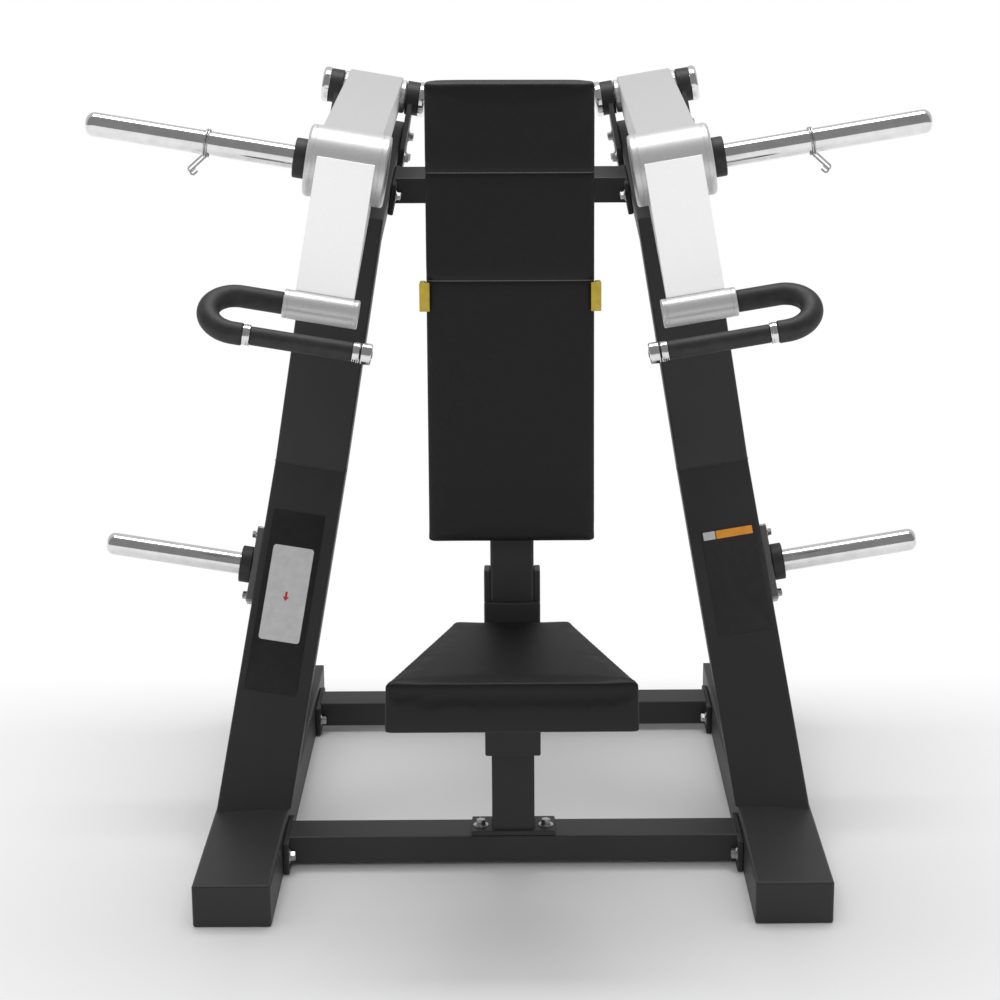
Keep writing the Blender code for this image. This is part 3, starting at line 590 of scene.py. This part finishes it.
def horns(side):
    """Chrome weight horns with their rubber bumpers."""
    low, high = side.box("weight_horn")
    centre = middle(low, high)
    radius = (high.z - low.z) / 2
    dome = 17 * MM
    bolt_inset = 16 * MM
    horn = rod(low.x + 0.02, high.x, radius, 0.001, dome, centre)
    side.add("weight_horn_bar", horn, "chrome", side.arm, ["weight_horn"], sharp=50)
    low, high = side.box("horn_bumper")
    outer = (high.z - low.z) / 2
    bumper = ring(low.x, high.x, outer, radius + CLEAR, 0.003, centre)
    side.add("horn_bumper_ring", bumper, "rubber", side.arm, ["horn_bumper"])

    low, high = side.box("storage_bumper")
    centre = middle(low, high)
    outer = (high.z - low.z) / 2
    bumper = ring(low.x, high.x, outer, radius + CLEAR, 0.003, centre)
    side.add("storage_bumper_ring", bumper, "rubber", "frame", ["storage_bumper"])
    flange_low, tip = side.box("storage_horn")
    horn = rod(low.x - 0.0005, tip.x, radius, 0.0004, dome, centre)
    side.add("storage_horn_bar", horn, "chrome", "frame", ["storage_horn"], sharp=50)

    foot, kink = face_line(side)
    along = Vector((0, kink[0] - foot[0], kink[1] - foot[1])).normalized()
    across = Vector((1, 0, 0)).cross(along)
    turn = Matrix((across, along, Vector((1, 0, 0)))).transposed().to_4x4()
    place = Matrix.Translation((flange_low.x, *centre)) @ turn
    length, width, thick = 0.173, 0.072, low.x - CLEAR - flange_low.x
    flange = slab(round_rect(width, length, 0.006), thick, 0.0015)
    bmesh.ops.transform(flange, matrix=place, verts=flange.verts)
    side.add("storage_flange", flange, "bearing_steel")
    bolts = []
    for end in (-1, 1):
        spot = place @ Vector((0, end * (length / 2 - bolt_inset), thick))
        bolts.append(bolt(spot, (1, 0, 0), 15 * MM, 0.3 * end))
    side.add("storage_bolts", joined(bolts), "zinc")


def face_line(side):
    """The front post's lower front face in the side frame's plane: its foot and its kink."""
    points = side.points("front_post")
    top = points[points[:, 2] > points[:, 2].max() - 0.05]
    upper_y = top[:, 1].min()
    straight = points[np.abs(points[:, 1] - upper_y) < 1e-4]
    kink = (upper_y, straight[:, 2].min())
    low = points[points[:, 1].argmin()]
    return (low[1], low[2]), kink


def spring_clip(side):
    """A wire clip of just over two turns, whose two hooked legs hang down and outwards."""
    low, high = side.box("weight_horn")
    centre = middle(low, high)
    clip_low, clip_high = side.box("spring_clip")
    x = (clip_low.x + clip_high.x) / 2
    wire = 1.9 * MM
    coil = (high.z - low.z) / 2 + wire + 0.8 * MM
    first, last = math.radians(236), math.radians(236 + 720 + 66)
    pitch, steps = 4.8 * MM, 130
    straight, hook, return_length = 46 * MM, 5.0 * MM, 9 * MM
    turns = (last - first) / (2 * math.pi)
    path = []
    for i in range(steps + 1):
        share = i / steps
        angle = first + (last - first) * share
        along = x + pitch * turns * (share - 0.5)
        path.append(Vector((along, coil * math.cos(angle), coil * math.sin(angle))))
    legs = []
    for tip, spread in ((path[0], -1), (path[-1], 1)):
        leg = Vector((0.62, spread * 0.16, -0.76)).normalized()
        hook_side = Vector((leg.z, 0, -leg.x)).normalized()
        added = [tip + leg * straight * k / 5 for k in range(1, 6)]
        turn_at = added[-1]
        for k in range(1, 11):
            a = math.pi * k / 10
            added.append(turn_at + hook * (leg * math.sin(a) + hook_side * (1 - math.cos(a))))
        added.append(added[-1] - leg * return_length)
        legs.append(added)
    path = [*reversed(legs[0]), *path, *legs[1]]
    path = [p + Vector((0, *centre)) for p in path]
    side.add(
        "spring_clip_wire", swept(path, wire, 12), "zinc", side.name + "_clip", ["spring_clip"], slot="zinc"
    )


def handle(side):
    """Sleeve, bent bar with its thick rubber cover, chrome collars, hand grip and end cap."""
    low, high = side.box("handle_sleeve")
    sleeve = middle(low, high)
    radius = (high.z - low.z) / 2
    x0, x1 = low.x, high.x
    grip_low, grip_high = side.box("hand_grip")
    grip = middle(grip_low, grip_high)
    grip_r = (grip_high.z - grip_low.z) / 2
    bar_high = side.box("handle_bar")[1]

    edge, groove_at = 3 * MM, 9.9 * MM
    profile = [(x0, grip_r + CLEAR)] + rim(x0 + edge, radius - edge, edge, 180, 90)
    profile += groove(x0 + groove_at, radius, 0.8 * MM, 1.4 * MM)
    profile += groove(x1 - groove_at, radius, 0.8 * MM, 1.4 * MM)
    profile += rim(x1 - edge, radius - edge, edge, 90, 0) + [(x1, grip_r + CLEAR)]
    shell = turned(profile, sleeve, 72, ring=True)
    side.add("handle_sleeve_shell", shell, "arm_silver", side.arm, ["handle_sleeve"])

    cover_r, core_r, bore = 23 * MM, 12 * MM, 12.4 * MM
    centre = (Vector(sleeve) + Vector(grip)) / 2
    half = (Vector(grip) - Vector(sleeve)) / 2
    bend_x = bar_high.x - half.length - cover_r
    end_x = grip_high.x + 0.016
    path = [(x1 + CLEAR, *sleeve), (x1 + 0.012, *sleeve), ((x1 + bend_x) / 2, *sleeve)]
    for i in range(33):
        angle = math.pi * i / 32
        y, z = centre - half * math.cos(angle)
        path.append((bend_x + half.length * math.sin(angle), y, z))
    path += [(end_x + 0.006, *grip), (end_x, *grip)]
    cover = swept(path, cover_r, 40, 0.003)
    spigot = rod(x0 + 0.004, x1 + 0.02, grip_r - CLEAR, 0.001, 0.001, sleeve, 48)
    core = rod(x0 * 1.27, bend_x, core_r, 0.001, 0.001, grip, 48)
    side.add("handle_bar_cover", joined([cover, spigot, core]), "rubber", side.arm, ["handle_bar"])

    edge = 2 * MM
    body = [(grip_low.x, bore)] + rim(grip_low.x + edge, grip_r - edge, edge, 180, 90)
    body += rim(grip_high.x - edge, grip_r - edge, edge, 90, 0) + [(grip_high.x, bore)]
    side.add("hand_grip_cover", turned(body, grip, 64, ring=True), "rubber", side.arm, ["hand_grip"])

    collars = []
    cap_low, cap_high = side.box("handle_end_cap")
    for near, far, size in (
        (cap_high.x + 3.5 * MM, grip_low.x - CLEAR, 0.0202),
        (grip_high.x + CLEAR, end_x - CLEAR, 0.0212),
    ):
        collars.append(ring(near, far, size, bore, 0.0018, grip, 64))
        centre_x, band = (near + far) / 2, 3 * MM
        collars.append(ring(centre_x - band, centre_x + band, size + 0.0005, size - 0.002, 0.0012, grip, 64))
    side.add("handle_collars", joined(collars), "chrome", side.arm)
    cap_r = (cap_high.z - cap_low.z) / 2
    edge = 2.2 * MM
    cap = [(cap_low.x + 0.003, 0.0), (cap_low.x + 0.003, 0.0125), (cap_low.x, 0.0135)]
    cap += rim(cap_low.x + edge, cap_r - edge, edge, 180, 90)
    cap += rim(cap_high.x - edge, cap_r - edge, edge, 90, 0) + [(cap_high.x, 0.0)]
    side.add("handle_end_cap_shell", turned(cap, grip, 64), "chrome", side.arm, ["handle_end_cap"])
    head = hexagon(0.0, 13 * MM, 4.5 * MM)
    facing = Matrix.Translation((cap_low.x + 0.0029, *grip)) @ Matrix.Rotation(math.pi, 4, "Z")
    bmesh.ops.transform(head, matrix=facing, verts=head.verts)
    side.add("handle_end_bolt", head, "bearing_steel", side.arm)


def pivots(side):
    """Domed chrome bearing caps, the smooth bosses that they close, and the bracket bolts."""
    dome = 8 * MM
    boss_r, boss_bore = 39.6 * MM, 27.2 * MM
    boss_inner, boss_outer = 76 * MM, 106.2 * MM
    for place, sign in (("outer", 1), ("inner", -1)):
        low, high = side.box("bearing_cap_" + place)
        centre = middle(low, high)
        radius = (high.z - low.z) / 2
        near, far = (low.x, high.x) if sign > 0 else (high.x, low.x)
        profile = [(near, 0.0), (near, radius - 0.0015), (near + sign * 0.0015, radius)]
        for i in range(9):
            angle = math.radians(90 * i / 8)
            x = far - sign * dome * (1 - math.sin(angle))
            profile.append((x, radius - dome * (1 - math.cos(angle))))
        dimple = far - sign * 1.6 * MM
        profile += [(far + sign * 0.0012, 0.016), (far, 0.0135), (dimple, 0.012), (dimple, 0.0)]
        cap = turned(profile, centre, 72)
        side.add(f"bearing_cap_{place}_dome", cap, "chrome", "frame", ["bearing_cap_" + place])
        low, high = side.box("pivot_bracket_" + place)
        boss = ring(*sorted((sign * boss_inner, sign * boss_outer)), boss_r, boss_bore, 0.0015, centre)
        side.add("pivot_boss_" + place, boss, "frame_coat")
        points = side.points("pivot_bracket_" + place)
        lower = points[points[:, 2] < low.z + 0.06]
        y0, y1 = lower[:, 1].min(), lower[:, 1].max()
        slope = math.tan(TOP_RAIL_SLOPE) * math.cos(side.lean)
        bolts = []
        plate = np.abs(lower[:, 0]).max() * sign
        for share in (0.10, 0.88):
            for rise in (0.014, 0.064):
                y = y0 + (y1 - y0) * share
                z = low.z + rise + (y - y0) * slope
                bolts.append(bolt((plate, y, z), (sign, 0, 0), 17 * MM, share + rise * 30))
        side.add(f"bracket_bolts_{place}", joined(bolts), "zinc")


# Frame details


def post_details(side):
    """The weld seam at the front post's bend, and the plates on its lower face."""
    foot, kink = face_line(side)
    low, high = side.box("front_post")
    half = (high.x - low.x) / 2
    bead, corner, depth, drop = 1.3 * MM, 5 * MM, 50 * MM, 4 * MM
    y, z = kink
    seam = [(-half, y + depth, z - drop), (-half, y + corner, z), (-half + corner, y, z), (0, y, z)]
    seam += [(half - corner, y, z), (half, y + corner, z), (half, y + depth, z - drop)]
    side.add("post_kink_weld", swept(seam, bead, 10), "frame_coat")

    along = Vector((0, kink[0] - foot[0], kink[1] - foot[1])).normalized()
    right = Vector((1, 0, 0))
    normal = right.cross(along)
    if normal.y > 0:
        normal = -normal
    matrix = Matrix((right, along, normal)).transposed().to_4x4()
    matrix.translation = Vector((0, *foot)) + normal * 0.0003

    def lay(name, outline, thickness, finish, lift=0.0, edge=0.0):
        shape = slab(outline, thickness, edge)
        bmesh.ops.transform(shape, matrix=matrix @ Matrix.Translation((0, 0, lift)), verts=shape.verts)
        side.add(name, shape, finish, slot="board")

    plate, panel, edge = 1.0 * MM, 0.4 * MM, 0.3 * MM
    if side.name == "left":
        lay("guide_plate", round_rect(0.117, 0.412, 0.004, (0.007, 0.4848)), plate, "plate_black", 0, edge)
        lay("guide_panel", round_rect(0.092, 0.2165, 0.007, (0.007, 0.5025)), panel, "plate_grey", plate)
        arrow = [(-0.0025, 0.011), (-0.0025, -0.001), (-0.007, -0.001), (0, -0.011), (0.007, -0.001)]
        arrow += [(0.0025, -0.001), (0.0025, 0.011)]
        arrow = [(x + 0.007, y + 0.4965) for x, y in arrow]
        lay("guide_arrow", arrow, 0.3 * MM, "plate_red", plate + panel)
    else:
        backing = round_rect(0.121, 0.240, 0.004, (0.007, 0.530))
        lay("caution_plate", backing, plate, "plate_charcoal", 0, edge)
        lay("caution_band", round_rect(0.083, 0.0185, 0.001, (0.0215, 0.6375)), panel, "plate_orange", plate)
        lay("caution_mark", round_rect(0.027, 0.0185, 0.001, (-0.0355, 0.6375)), panel, "plate_grey", plate)


def rail_caps():
    """Black plugs in the open rear ends of the base rails and top rails."""
    wall, edge, lip, proud, bevel = 4.5 * MM, 0.8 * MM, 2.8 * MM, 1.5 * MM, 1.2 * MM
    for name, side in sides.items():
        low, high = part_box(name + "_base_rail")
        y = high.y
        foot, top = (low.x + wall, y - 12 * MM, low.z + wall), (high.x - wall, y + proud, high.z - wall)
        plug = block(foot, top, bevel)
        foot, top = (low.x + edge, y + CLEAR, low.z + edge), (high.x - edge, y + lip, high.z - edge)
        cover = block(foot, top, bevel)
        add_piece(name + "_rail_plug", joined([plug, cover]), "black_plastic", "frame", slot="board")
        low, high = side.box("top_rail")
        points = side.points("top_rail")
        y = high.y
        end = points[points[:, 1] > y - 1e-4]
        z0, z1 = end[:, 2].min() + 1 * MM, end[:, 2].max() - 1 * MM
        plug = block((low.x + edge, y + CLEAR, z0), (high.x - edge, y + lip, z1), bevel)
        side.add("top_rail_plug", plug, "black_plastic", slot="board")


def cross_bar_bolts(name):
    """Bolts through a floor bar's end flanges, on the flange faces beside the bar."""
    low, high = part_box(name)
    points = vertices(name)
    flange = np.abs(points[:, 0][points[:, 1] < low.y + 0.004]).min()
    inset = 17 * MM
    bolts = []
    for sign in (-1, 1):
        for y in (low.y + inset, high.y - inset):
            bolts.append(bolt((sign * flange, y, (low.z + high.z) / 2), (-sign, 0, 0), FRAME_BOLT, y * 9))
    add_piece(name + "_bolts", joined(bolts), "zinc", "frame")


def beam_bolts(side):
    """Bolts through the top beam's end flange, before and behind the beam."""
    inner = side.box("front_post")[0].x
    points = vertices("top_cross_beam")
    inverse = np.array(side.matrix.inverted())
    local = points @ inverse[:3, :3].T + inverse[:3, 3]
    flange = local[local[:, 0] > inner - 13.5 * MM]
    face = flange[:, 0].min()
    low, high = flange.min(0), flange.max(0)
    slope = math.tan(TOP_RAIL_SLOPE) * math.cos(side.lean)
    bolts = []
    raised = 10 * MM
    for y in (low[1] + 13 * MM, high[1] - 14 * MM):
        z = (low[2] + high[2]) / 2 + raised + (y - (low[1] + high[1]) / 2) * slope
        bolts.append(bolt((face, y, z), (-1, 0, 0), 16 * MM, y * 7))
    side.add("top_beam_bolts", joined(bolts), "zinc")


def seat_bolts():
    """Bolts on the column's foot plate and through the seat bracket's sides."""
    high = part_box("seat_column")[1]
    points = vertices("seat_column")
    plate = points[np.abs(points[:, 0]) > high.x - 0.004]
    top = plate[:, 2].max()
    y = plate[:, 1].mean() - 0.006
    inset = 20 * MM
    bolts = [bolt((s * (high.x - inset), y, top), (0, 0, 1), FRAME_BOLT, s * 0.4) for s in (-1, 1)]
    add_piece("column_foot_bolts", joined(bolts), "zinc", "frame")
    low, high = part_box("seat_frame")
    bolts = []
    for sign in (-1, 1):
        for back in (0.05, 0.12):
            spot = (sign * high.x, low.y + back, high.z - 13 * MM)
            bolts.append(bolt(spot, (sign, 0, 0), 10 * MM, back * 9))
    add_piece("seat_frame_bolts", joined(bolts), "zinc", "seat")


def lever():
    """The yellow lever: its round cross rod, two straps, and grip tabs lipped over the pad's edges."""
    found = vertices("adjust_lever")
    high = found.max(0)
    axis = Vector(JOINTS["lever_lift"]["pos_m"])
    pad_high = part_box("back_pad")[1]
    up = Vector(JOINTS["seat_height"]["axis"]).normalized()
    back = Vector((0, up.z, -up.y))
    matrix = Matrix((Vector((1, 0, 0)), back, up)).transposed().to_4x4()
    matrix.translation = axis
    local = (found - np.array(axis)) @ np.array(matrix.to_3x3())
    front = local[:, 1].min()
    half, strap, overlap = 29.5 * MM, 13 * MM, 9 * MM
    inner, outer = pad_high.x + 1.5 * MM, high[0]
    shapes = [rod(-inner - 0.003, inner + 0.003, 0.008, 0.001, 0.001)]
    for sign in (-1, 1):
        near, far = sorted((sign * inner, sign * (inner + 0.006)))
        shapes.append(block((near, front + 0.01, -strap), (far, strap, strap), 0.002))
        near, far = sorted((sign * inner, sign * outer))
        shapes.append(block((near, front - 0.013, -half), (far, front + 0.034, half), 0.002))
        near, far = sorted((sign * (inner - overlap), sign * outer))
        shapes.append(block((near, front - 0.018, -half), (far, front - 0.0135, half), 0.0015))
    add_piece("lever_bar", joined(shapes), "yellow_plastic", "lever", matrix, replaces=["adjust_lever"])


# Cushions

PAD_PRESSURE = 4.0
PAD_STEPS = 20


def puff(bm, name, finish, voxel, cap, hold):
    """A padded form: remeshed, blown up as cloth with its board side held, and subdivided.

    cap is the most that the cloth moves; hold gives how firmly each point of the board side is held.
    """
    mesh = bpy.data.meshes.new(name)
    bm.to_mesh(mesh)
    bm.free()
    obj = bpy.data.objects.new(name, mesh)
    bpy.context.scene.collection.objects.link(obj)
    bpy.context.view_layer.objects.active = obj
    obj.select_set(True)
    remesh = obj.modifiers.new("Remesh", "REMESH")
    remesh.mode = "VOXEL"
    remesh.voxel_size = voxel
    bpy.ops.object.modifier_apply(modifier="Remesh")
    count = len(obj.data.vertices)
    rest = np.zeros(count * 3, np.float32)
    obj.data.vertices.foreach_get("co", rest)
    rest = rest.reshape(-1, 3).copy()
    group = obj.vertex_groups.new(name="held")
    for index, point in enumerate(rest):
        weight = hold(point)
        if weight > 0:
            group.add([index], weight, "REPLACE")
    cloth = obj.modifiers.new("Cloth", "CLOTH")
    settings = cloth.settings
    settings.quality = 5
    settings.mass = 0.3
    settings.use_pressure = True
    settings.uniform_pressure_force = PAD_PRESSURE
    settings.effector_weights.gravity = 0
    settings.tension_stiffness = 20
    settings.compression_stiffness = 20
    settings.shear_stiffness = 8
    settings.bending_stiffness = 2
    settings.vertex_group_mass = "held"
    scene = bpy.context.scene
    for step in range(1, PAD_STEPS + 1):
        scene.frame_set(step)
    graph = bpy.context.evaluated_depsgraph_get()
    found = np.zeros(count * 3, np.float32)
    obj.evaluated_get(graph).data.vertices.foreach_get("co", found)
    obj.modifiers.remove(cloth)
    moved = found.reshape(-1, 3) - rest
    length = np.linalg.norm(moved, axis=1)
    scale = cap * np.tanh(length / cap) / np.maximum(length, 1e-9)
    rest = rest + moved * scale[:, None]
    obj.data.vertices.foreach_set("co", rest.astype(np.float32).ravel())
    scene.frame_set(1)
    smooth = obj.modifiers.new("Smooth", "SMOOTH")
    smooth.factor = 0.5
    smooth.iterations = 3
    bpy.ops.object.modifier_apply(modifier="Smooth")
    subdivision = obj.modifiers.new("Subdivision", "SUBSURF")
    subdivision.levels = subdivision.render_levels = 1
    bpy.ops.object.modifier_apply(modifier="Subdivision")
    obj.select_set(False)
    obj.data.materials.append(FINISH[finish])
    obj.data.shade_smooth()
    return obj


def points_of(obj):
    flat = np.zeros(len(obj.data.vertices) * 3, np.float32)
    obj.data.vertices.foreach_get("co", flat)
    return flat.reshape(-1, 3).astype(float)


def set_points(obj, points):
    obj.data.vertices.foreach_set("co", points.astype(np.float32).ravel())
    obj.data.update()


def wrap(tree, low, high, height):
    """The line round the cushion's sides and front at one height, on its surface."""
    corner, foot = 16 * MM, 12 * MM
    side, front = low[0] + corner, high[1] - corner
    rays = [((side, y), 0) for y in np.linspace(low[1] + foot, front, 4)[:-1]]
    rays += [((side, front), angle) for angle in range(0, 90, 15)]
    rays += [((x, front), 90) for x in np.linspace(side, 0, 26)]
    line = []
    for (x, y), angle in rays:
        out = Vector((-math.cos(math.radians(angle)), math.sin(math.radians(angle)), 0))
        line.append(tree.ray_cast(Vector((x, y, height)) + out * 0.1, -out)[0])
    return line + [Vector((-p.x, p.y, p.z)) for p in reversed(line[:-1])]


def back_cushion():
    """The back pad: flat on its board, softly crowned in front, with two sewn cross seams."""
    up = Vector(JOINTS["seat_height"]["axis"]).normalized()
    front = Vector((0, -up.z, up.y))
    matrix = Matrix((Vector((1, 0, 0)), front, up)).transposed().to_4x4()
    inverse = np.array(matrix.inverted())
    local = vertices("back_pad") @ inverse[:3, :3].T
    low, high = local.min(0), local.max(0)
    grow = 2.5 * MM
    pad_low, pad_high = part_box("back_pad")
    heights = []
    for z in (1.5115, 1.2925):
        share = (z - pad_low.z) / (pad_high.z - pad_low.z)
        heights.append(low[2] + share * (high[2] - low[2]))
    shape = block(
        (low[0] - grow, low[1], low[2] - grow / 2), (high[0] + grow, high[1], high[2] + grow / 2), 0.007, 3
    )
    obj = puff(
        shape, "back_cushion", "vinyl", 6 * MM, 2.8 * MM,
        lambda p: max(0.0, min(1.0, (low[1] + 0.014 - p[1]) / 0.012)),
    )
    points = points_of(obj)
    centre = np.array([0.0, (low[1] + high[1]) / 2])
    reach = np.array([high[0], (high[1] - low[1]) / 2])
    rim_share = 0.86
    for height in heights:
        away = np.abs(points[:, 2] - height)
        dip = 0.0022 * np.exp(-((away / 0.0042) ** 2)) + 0.0010 * np.exp(-((away / 0.016) ** 2))
        facing = np.clip((points[:, 1] - (low[1] + 0.01)) / 0.02, 0, 1)
        flat = points[:, :2] - centre
        pull = (np.abs(flat) / reach > rim_share) * np.sign(flat)
        points[:, :2] -= pull * (dip * facing)[:, None]
    set_points(obj, points)

    tree = BVHTree.FromPolygons(points.tolist(), [face.vertices[:] for face in obj.data.polygons])
    cords = [swept(wrap(tree, low, high, height), 1.1 * MM, 8) for height in heights]
    obj.data.transform(matrix)
    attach(obj, "frame")
    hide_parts("back_pad")
    add_piece("back_cushion_seams", joined(cords), "welt", "frame", matrix, slot="vinyl")


def taper(points, front, rear):
    """Half the pad's width at its front and rear ends, were its sides to run straight to square corners."""
    flat = np.unique(np.round(points[points[:, 0] > 0, :2], 5), axis=0)
    for start in flat:
        for end in flat:
            if end[1] - start[1] > 0.15:
                slope = (end[0] - start[0]) / (end[1] - start[1])
                line = start[0] + slope * (flat[:, 1] - start[1])
                if np.all(flat[:, 0] <= line + 2e-5):
                    return [start[0] + slope * (y - start[1]) for y in (front, rear)]
    return [points[:, 0].max()] * 2


def seat_cushion():
    """The tapered seat: its top is softly crowned and its underside lies flat on the bracket."""
    found = vertices("seat_pad")
    low, high = found.min(0), found.max(0)
    grow, fullness = 1 * MM, 6 * MM
    front_half, rear_half = (half + fullness for half in taper(found, low[1], high[1]))
    y0, y1 = low[1] - grow, high[1] + grow
    bm = bmesh.new()
    corners = [(-front_half, y0), (front_half, y0), (rear_half, y1), (-rear_half, y1)]
    face = bm.faces.new([bm.verts.new((x, y, low[2])) for x, y in corners])
    made = bmesh.ops.extrude_face_region(bm, geom=[face])
    raised = [item for item in made["geom"] if isinstance(item, bmesh.types.BMVert)]
    bmesh.ops.translate(bm, vec=(0, 0, high[2] - low[2]), verts=raised)
    bmesh.ops.recalc_face_normals(bm, faces=bm.faces)
    soften(bm, 0.006, 3)
    obj = puff(
        bm, "seat_cushion", "vinyl", 5.5 * MM, 3 * MM,
        lambda p: max(0.0, min(1.0, (low[2] + 0.016 - p[2]) / 0.012)),
    )
    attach(obj, "seat")
    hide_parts("seat_pad")


# CAD nodes that stay visible


def finish_nodes():
    """Gives each visible CAD node its finish."""
    for name, obj in frame["nodes"].items():
        if obj.hide_render:
            continue
        slot = obj.data.materials[0].name.split(".")[0]
        obj.material_slots[0].material = FINISH["arm_pearl" if name.endswith("drop_tube") else slot]


# Stage


def look_at(obj, target):
    direction = Vector(target) - obj.location
    obj.rotation_euler = direction.to_track_quat("-Z", "Y").to_euler()


def area_light(name, place, target, size, power):
    data = bpy.data.lights.new(name, "AREA")
    data.shape = "RECTANGLE"
    data.size, data.size_y = size
    data.energy = power
    obj = bpy.data.objects.new(name, data)
    obj.location = place
    look_at(obj, target)
    bpy.context.scene.collection.objects.link(obj)
    return obj


def studio():
    """A softbox overhead and white surroundings, darker on the camera's side for bright metal to mirror."""
    scene = bpy.context.scene
    scene.view_settings.view_transform = "Standard"
    world = bpy.data.worlds.new("studio")
    scene.world = world
    world.use_nodes = True
    tree = world.node_tree
    background = tree.nodes["Background"]
    background.inputs["Color"].default_value = (1, 1, 1, 1)
    paths = tree.nodes.new("ShaderNodeLightPath")
    place = tree.nodes.new("ShaderNodeTexCoord")
    split = tree.nodes.new("ShaderNodeSeparateXYZ")
    tree.links.new(place.outputs["Generated"], split.inputs[0])
    towards = tree.nodes.new("ShaderNodeMapRange")
    towards.interpolation_type = "SMOOTHSTEP"
    for key, value in (("From Min", -0.25), ("From Max", 0.45), ("To Min", 0.24), ("To Max", 0.64)):
        towards.inputs[key].default_value = value
    tree.links.new(split.outputs["Y"], towards.inputs["Value"])
    glossy = tree.nodes.new("ShaderNodeMix")
    glossy.inputs[2].default_value = 0.56
    tree.links.new(paths.outputs["Is Glossy Ray"], glossy.inputs[0])
    tree.links.new(towards.outputs["Result"], glossy.inputs[3])
    seen = tree.nodes.new("ShaderNodeMix")
    seen.inputs[3].default_value = 1.0
    tree.links.new(paths.outputs["Is Camera Ray"], seen.inputs[0])
    tree.links.new(glossy.outputs[0], seen.inputs[2])
    tree.links.new(seen.outputs[0], background.inputs["Strength"])

    area_light("overhead", (0, 0.55, 4.6), (0, -0.1, 0.9), (3.0, 1.3), 80)
    fill = area_light("front", (-0.4, -4.6, 3.0), (0, -0.1, 1.0), (1.6, 1.0), 52)
    fill.visible_glossy = False

    half_width = 60.0
    bm = bmesh.new()
    bmesh.ops.create_grid(bm, x_segments=4, y_segments=4, size=half_width)
    mesh = bpy.data.meshes.new("floor")
    bm.to_mesh(mesh)
    bm.free()
    floor = bpy.data.objects.new("floor", mesh)
    floor.location = (0, 0, -0.0005)
    bpy.context.scene.collection.objects.link(floor)
    mesh.materials.append(floor_material())


def floor_material():
    """Pale matt floor that fades into the white surroundings behind, beside and in front of the machine: a
    white glow, painted light, is mixed in more the further the floor lies from the machine.
    """
    s = Shader("floor", (0.86, 0.86, 0.86), 0.6)
    s.surface.inputs["Specular IOR Level"].default_value = 0.15
    tree = s.tree
    split = s.node("SeparateXYZ")
    s.link(s.place, split.inputs[0])
    aside = s.node("Math", operation="ABSOLUTE")
    s.link(split.outputs["X"], aside.inputs[0])
    behind = s.spread(split.outputs["Y"], 1.0, 0.0, 0.52, 0.95)
    beside = s.spread(aside.outputs[0], 1.0, 0.25, 0.55, 1.5)
    before = s.spread(split.outputs["Y"], 0.45, 1.0, -2.0, -0.7)
    keep = s.node("Math", operation="MULTIPLY")
    s.link(behind, keep.inputs[0])
    s.link(beside, keep.inputs[1])
    all_round = s.node("Math", operation="MULTIPLY")
    s.link(keep.outputs[0], all_round.inputs[0])
    s.link(before, all_round.inputs[1])
    # The floor's white glow is painted light: it brightens the floor beyond what the lamps give.
    glow = s.node("Emission")
    glow.inputs["Color"].default_value = (1, 1, 1, 1)
    blend = tree.nodes.new("ShaderNodeMixShader")
    s.link(all_round.outputs[0], blend.inputs[0])
    s.link(glow.outputs[0], blend.inputs[1])
    s.link(s.surface.outputs[0], blend.inputs[2])
    s.link(blend.outputs[0], tree.nodes["Material Output"].inputs["Surface"])
    return s.material


def camera():
    """In front and a little above, at the photograph's angle."""
    data = bpy.data.cameras.new("camera")
    data.sensor_width = 36.0
    data.lens = 83.88
    data.shift_x = -0.0402
    obj = bpy.data.objects.new("camera", data)
    turn = Matrix.Rotation(math.radians(-0.57), 4, "Z")
    tilt = Matrix.Rotation(math.radians(90 - 14.777), 4, "X")
    roll = Matrix.Rotation(math.radians(-0.139), 4, "Z")
    obj.matrix_world = Matrix.Translation((0.0131, -5.0528, 2.0758)) @ turn @ tilt @ roll
    bpy.context.scene.collection.objects.link(obj)
    bpy.context.scene.camera = obj


sides = {name: SideFrame(name, sign) for name, sign in SIDES.items()}
for side in sides.values():
    housing(side)
    horns(side)
    spring_clip(side)
    handle(side)
    pivots(side)
    post_details(side)
    beam_bolts(side)
rail_caps()
cross_bar_bolts("front_cross_bar")
cross_bar_bolts("rear_cross_bar")
seat_bolts()
lever()
back_cushion()
seat_cushion()
finish_nodes()
studio()
camera()

bpy.context.view_layer.update()
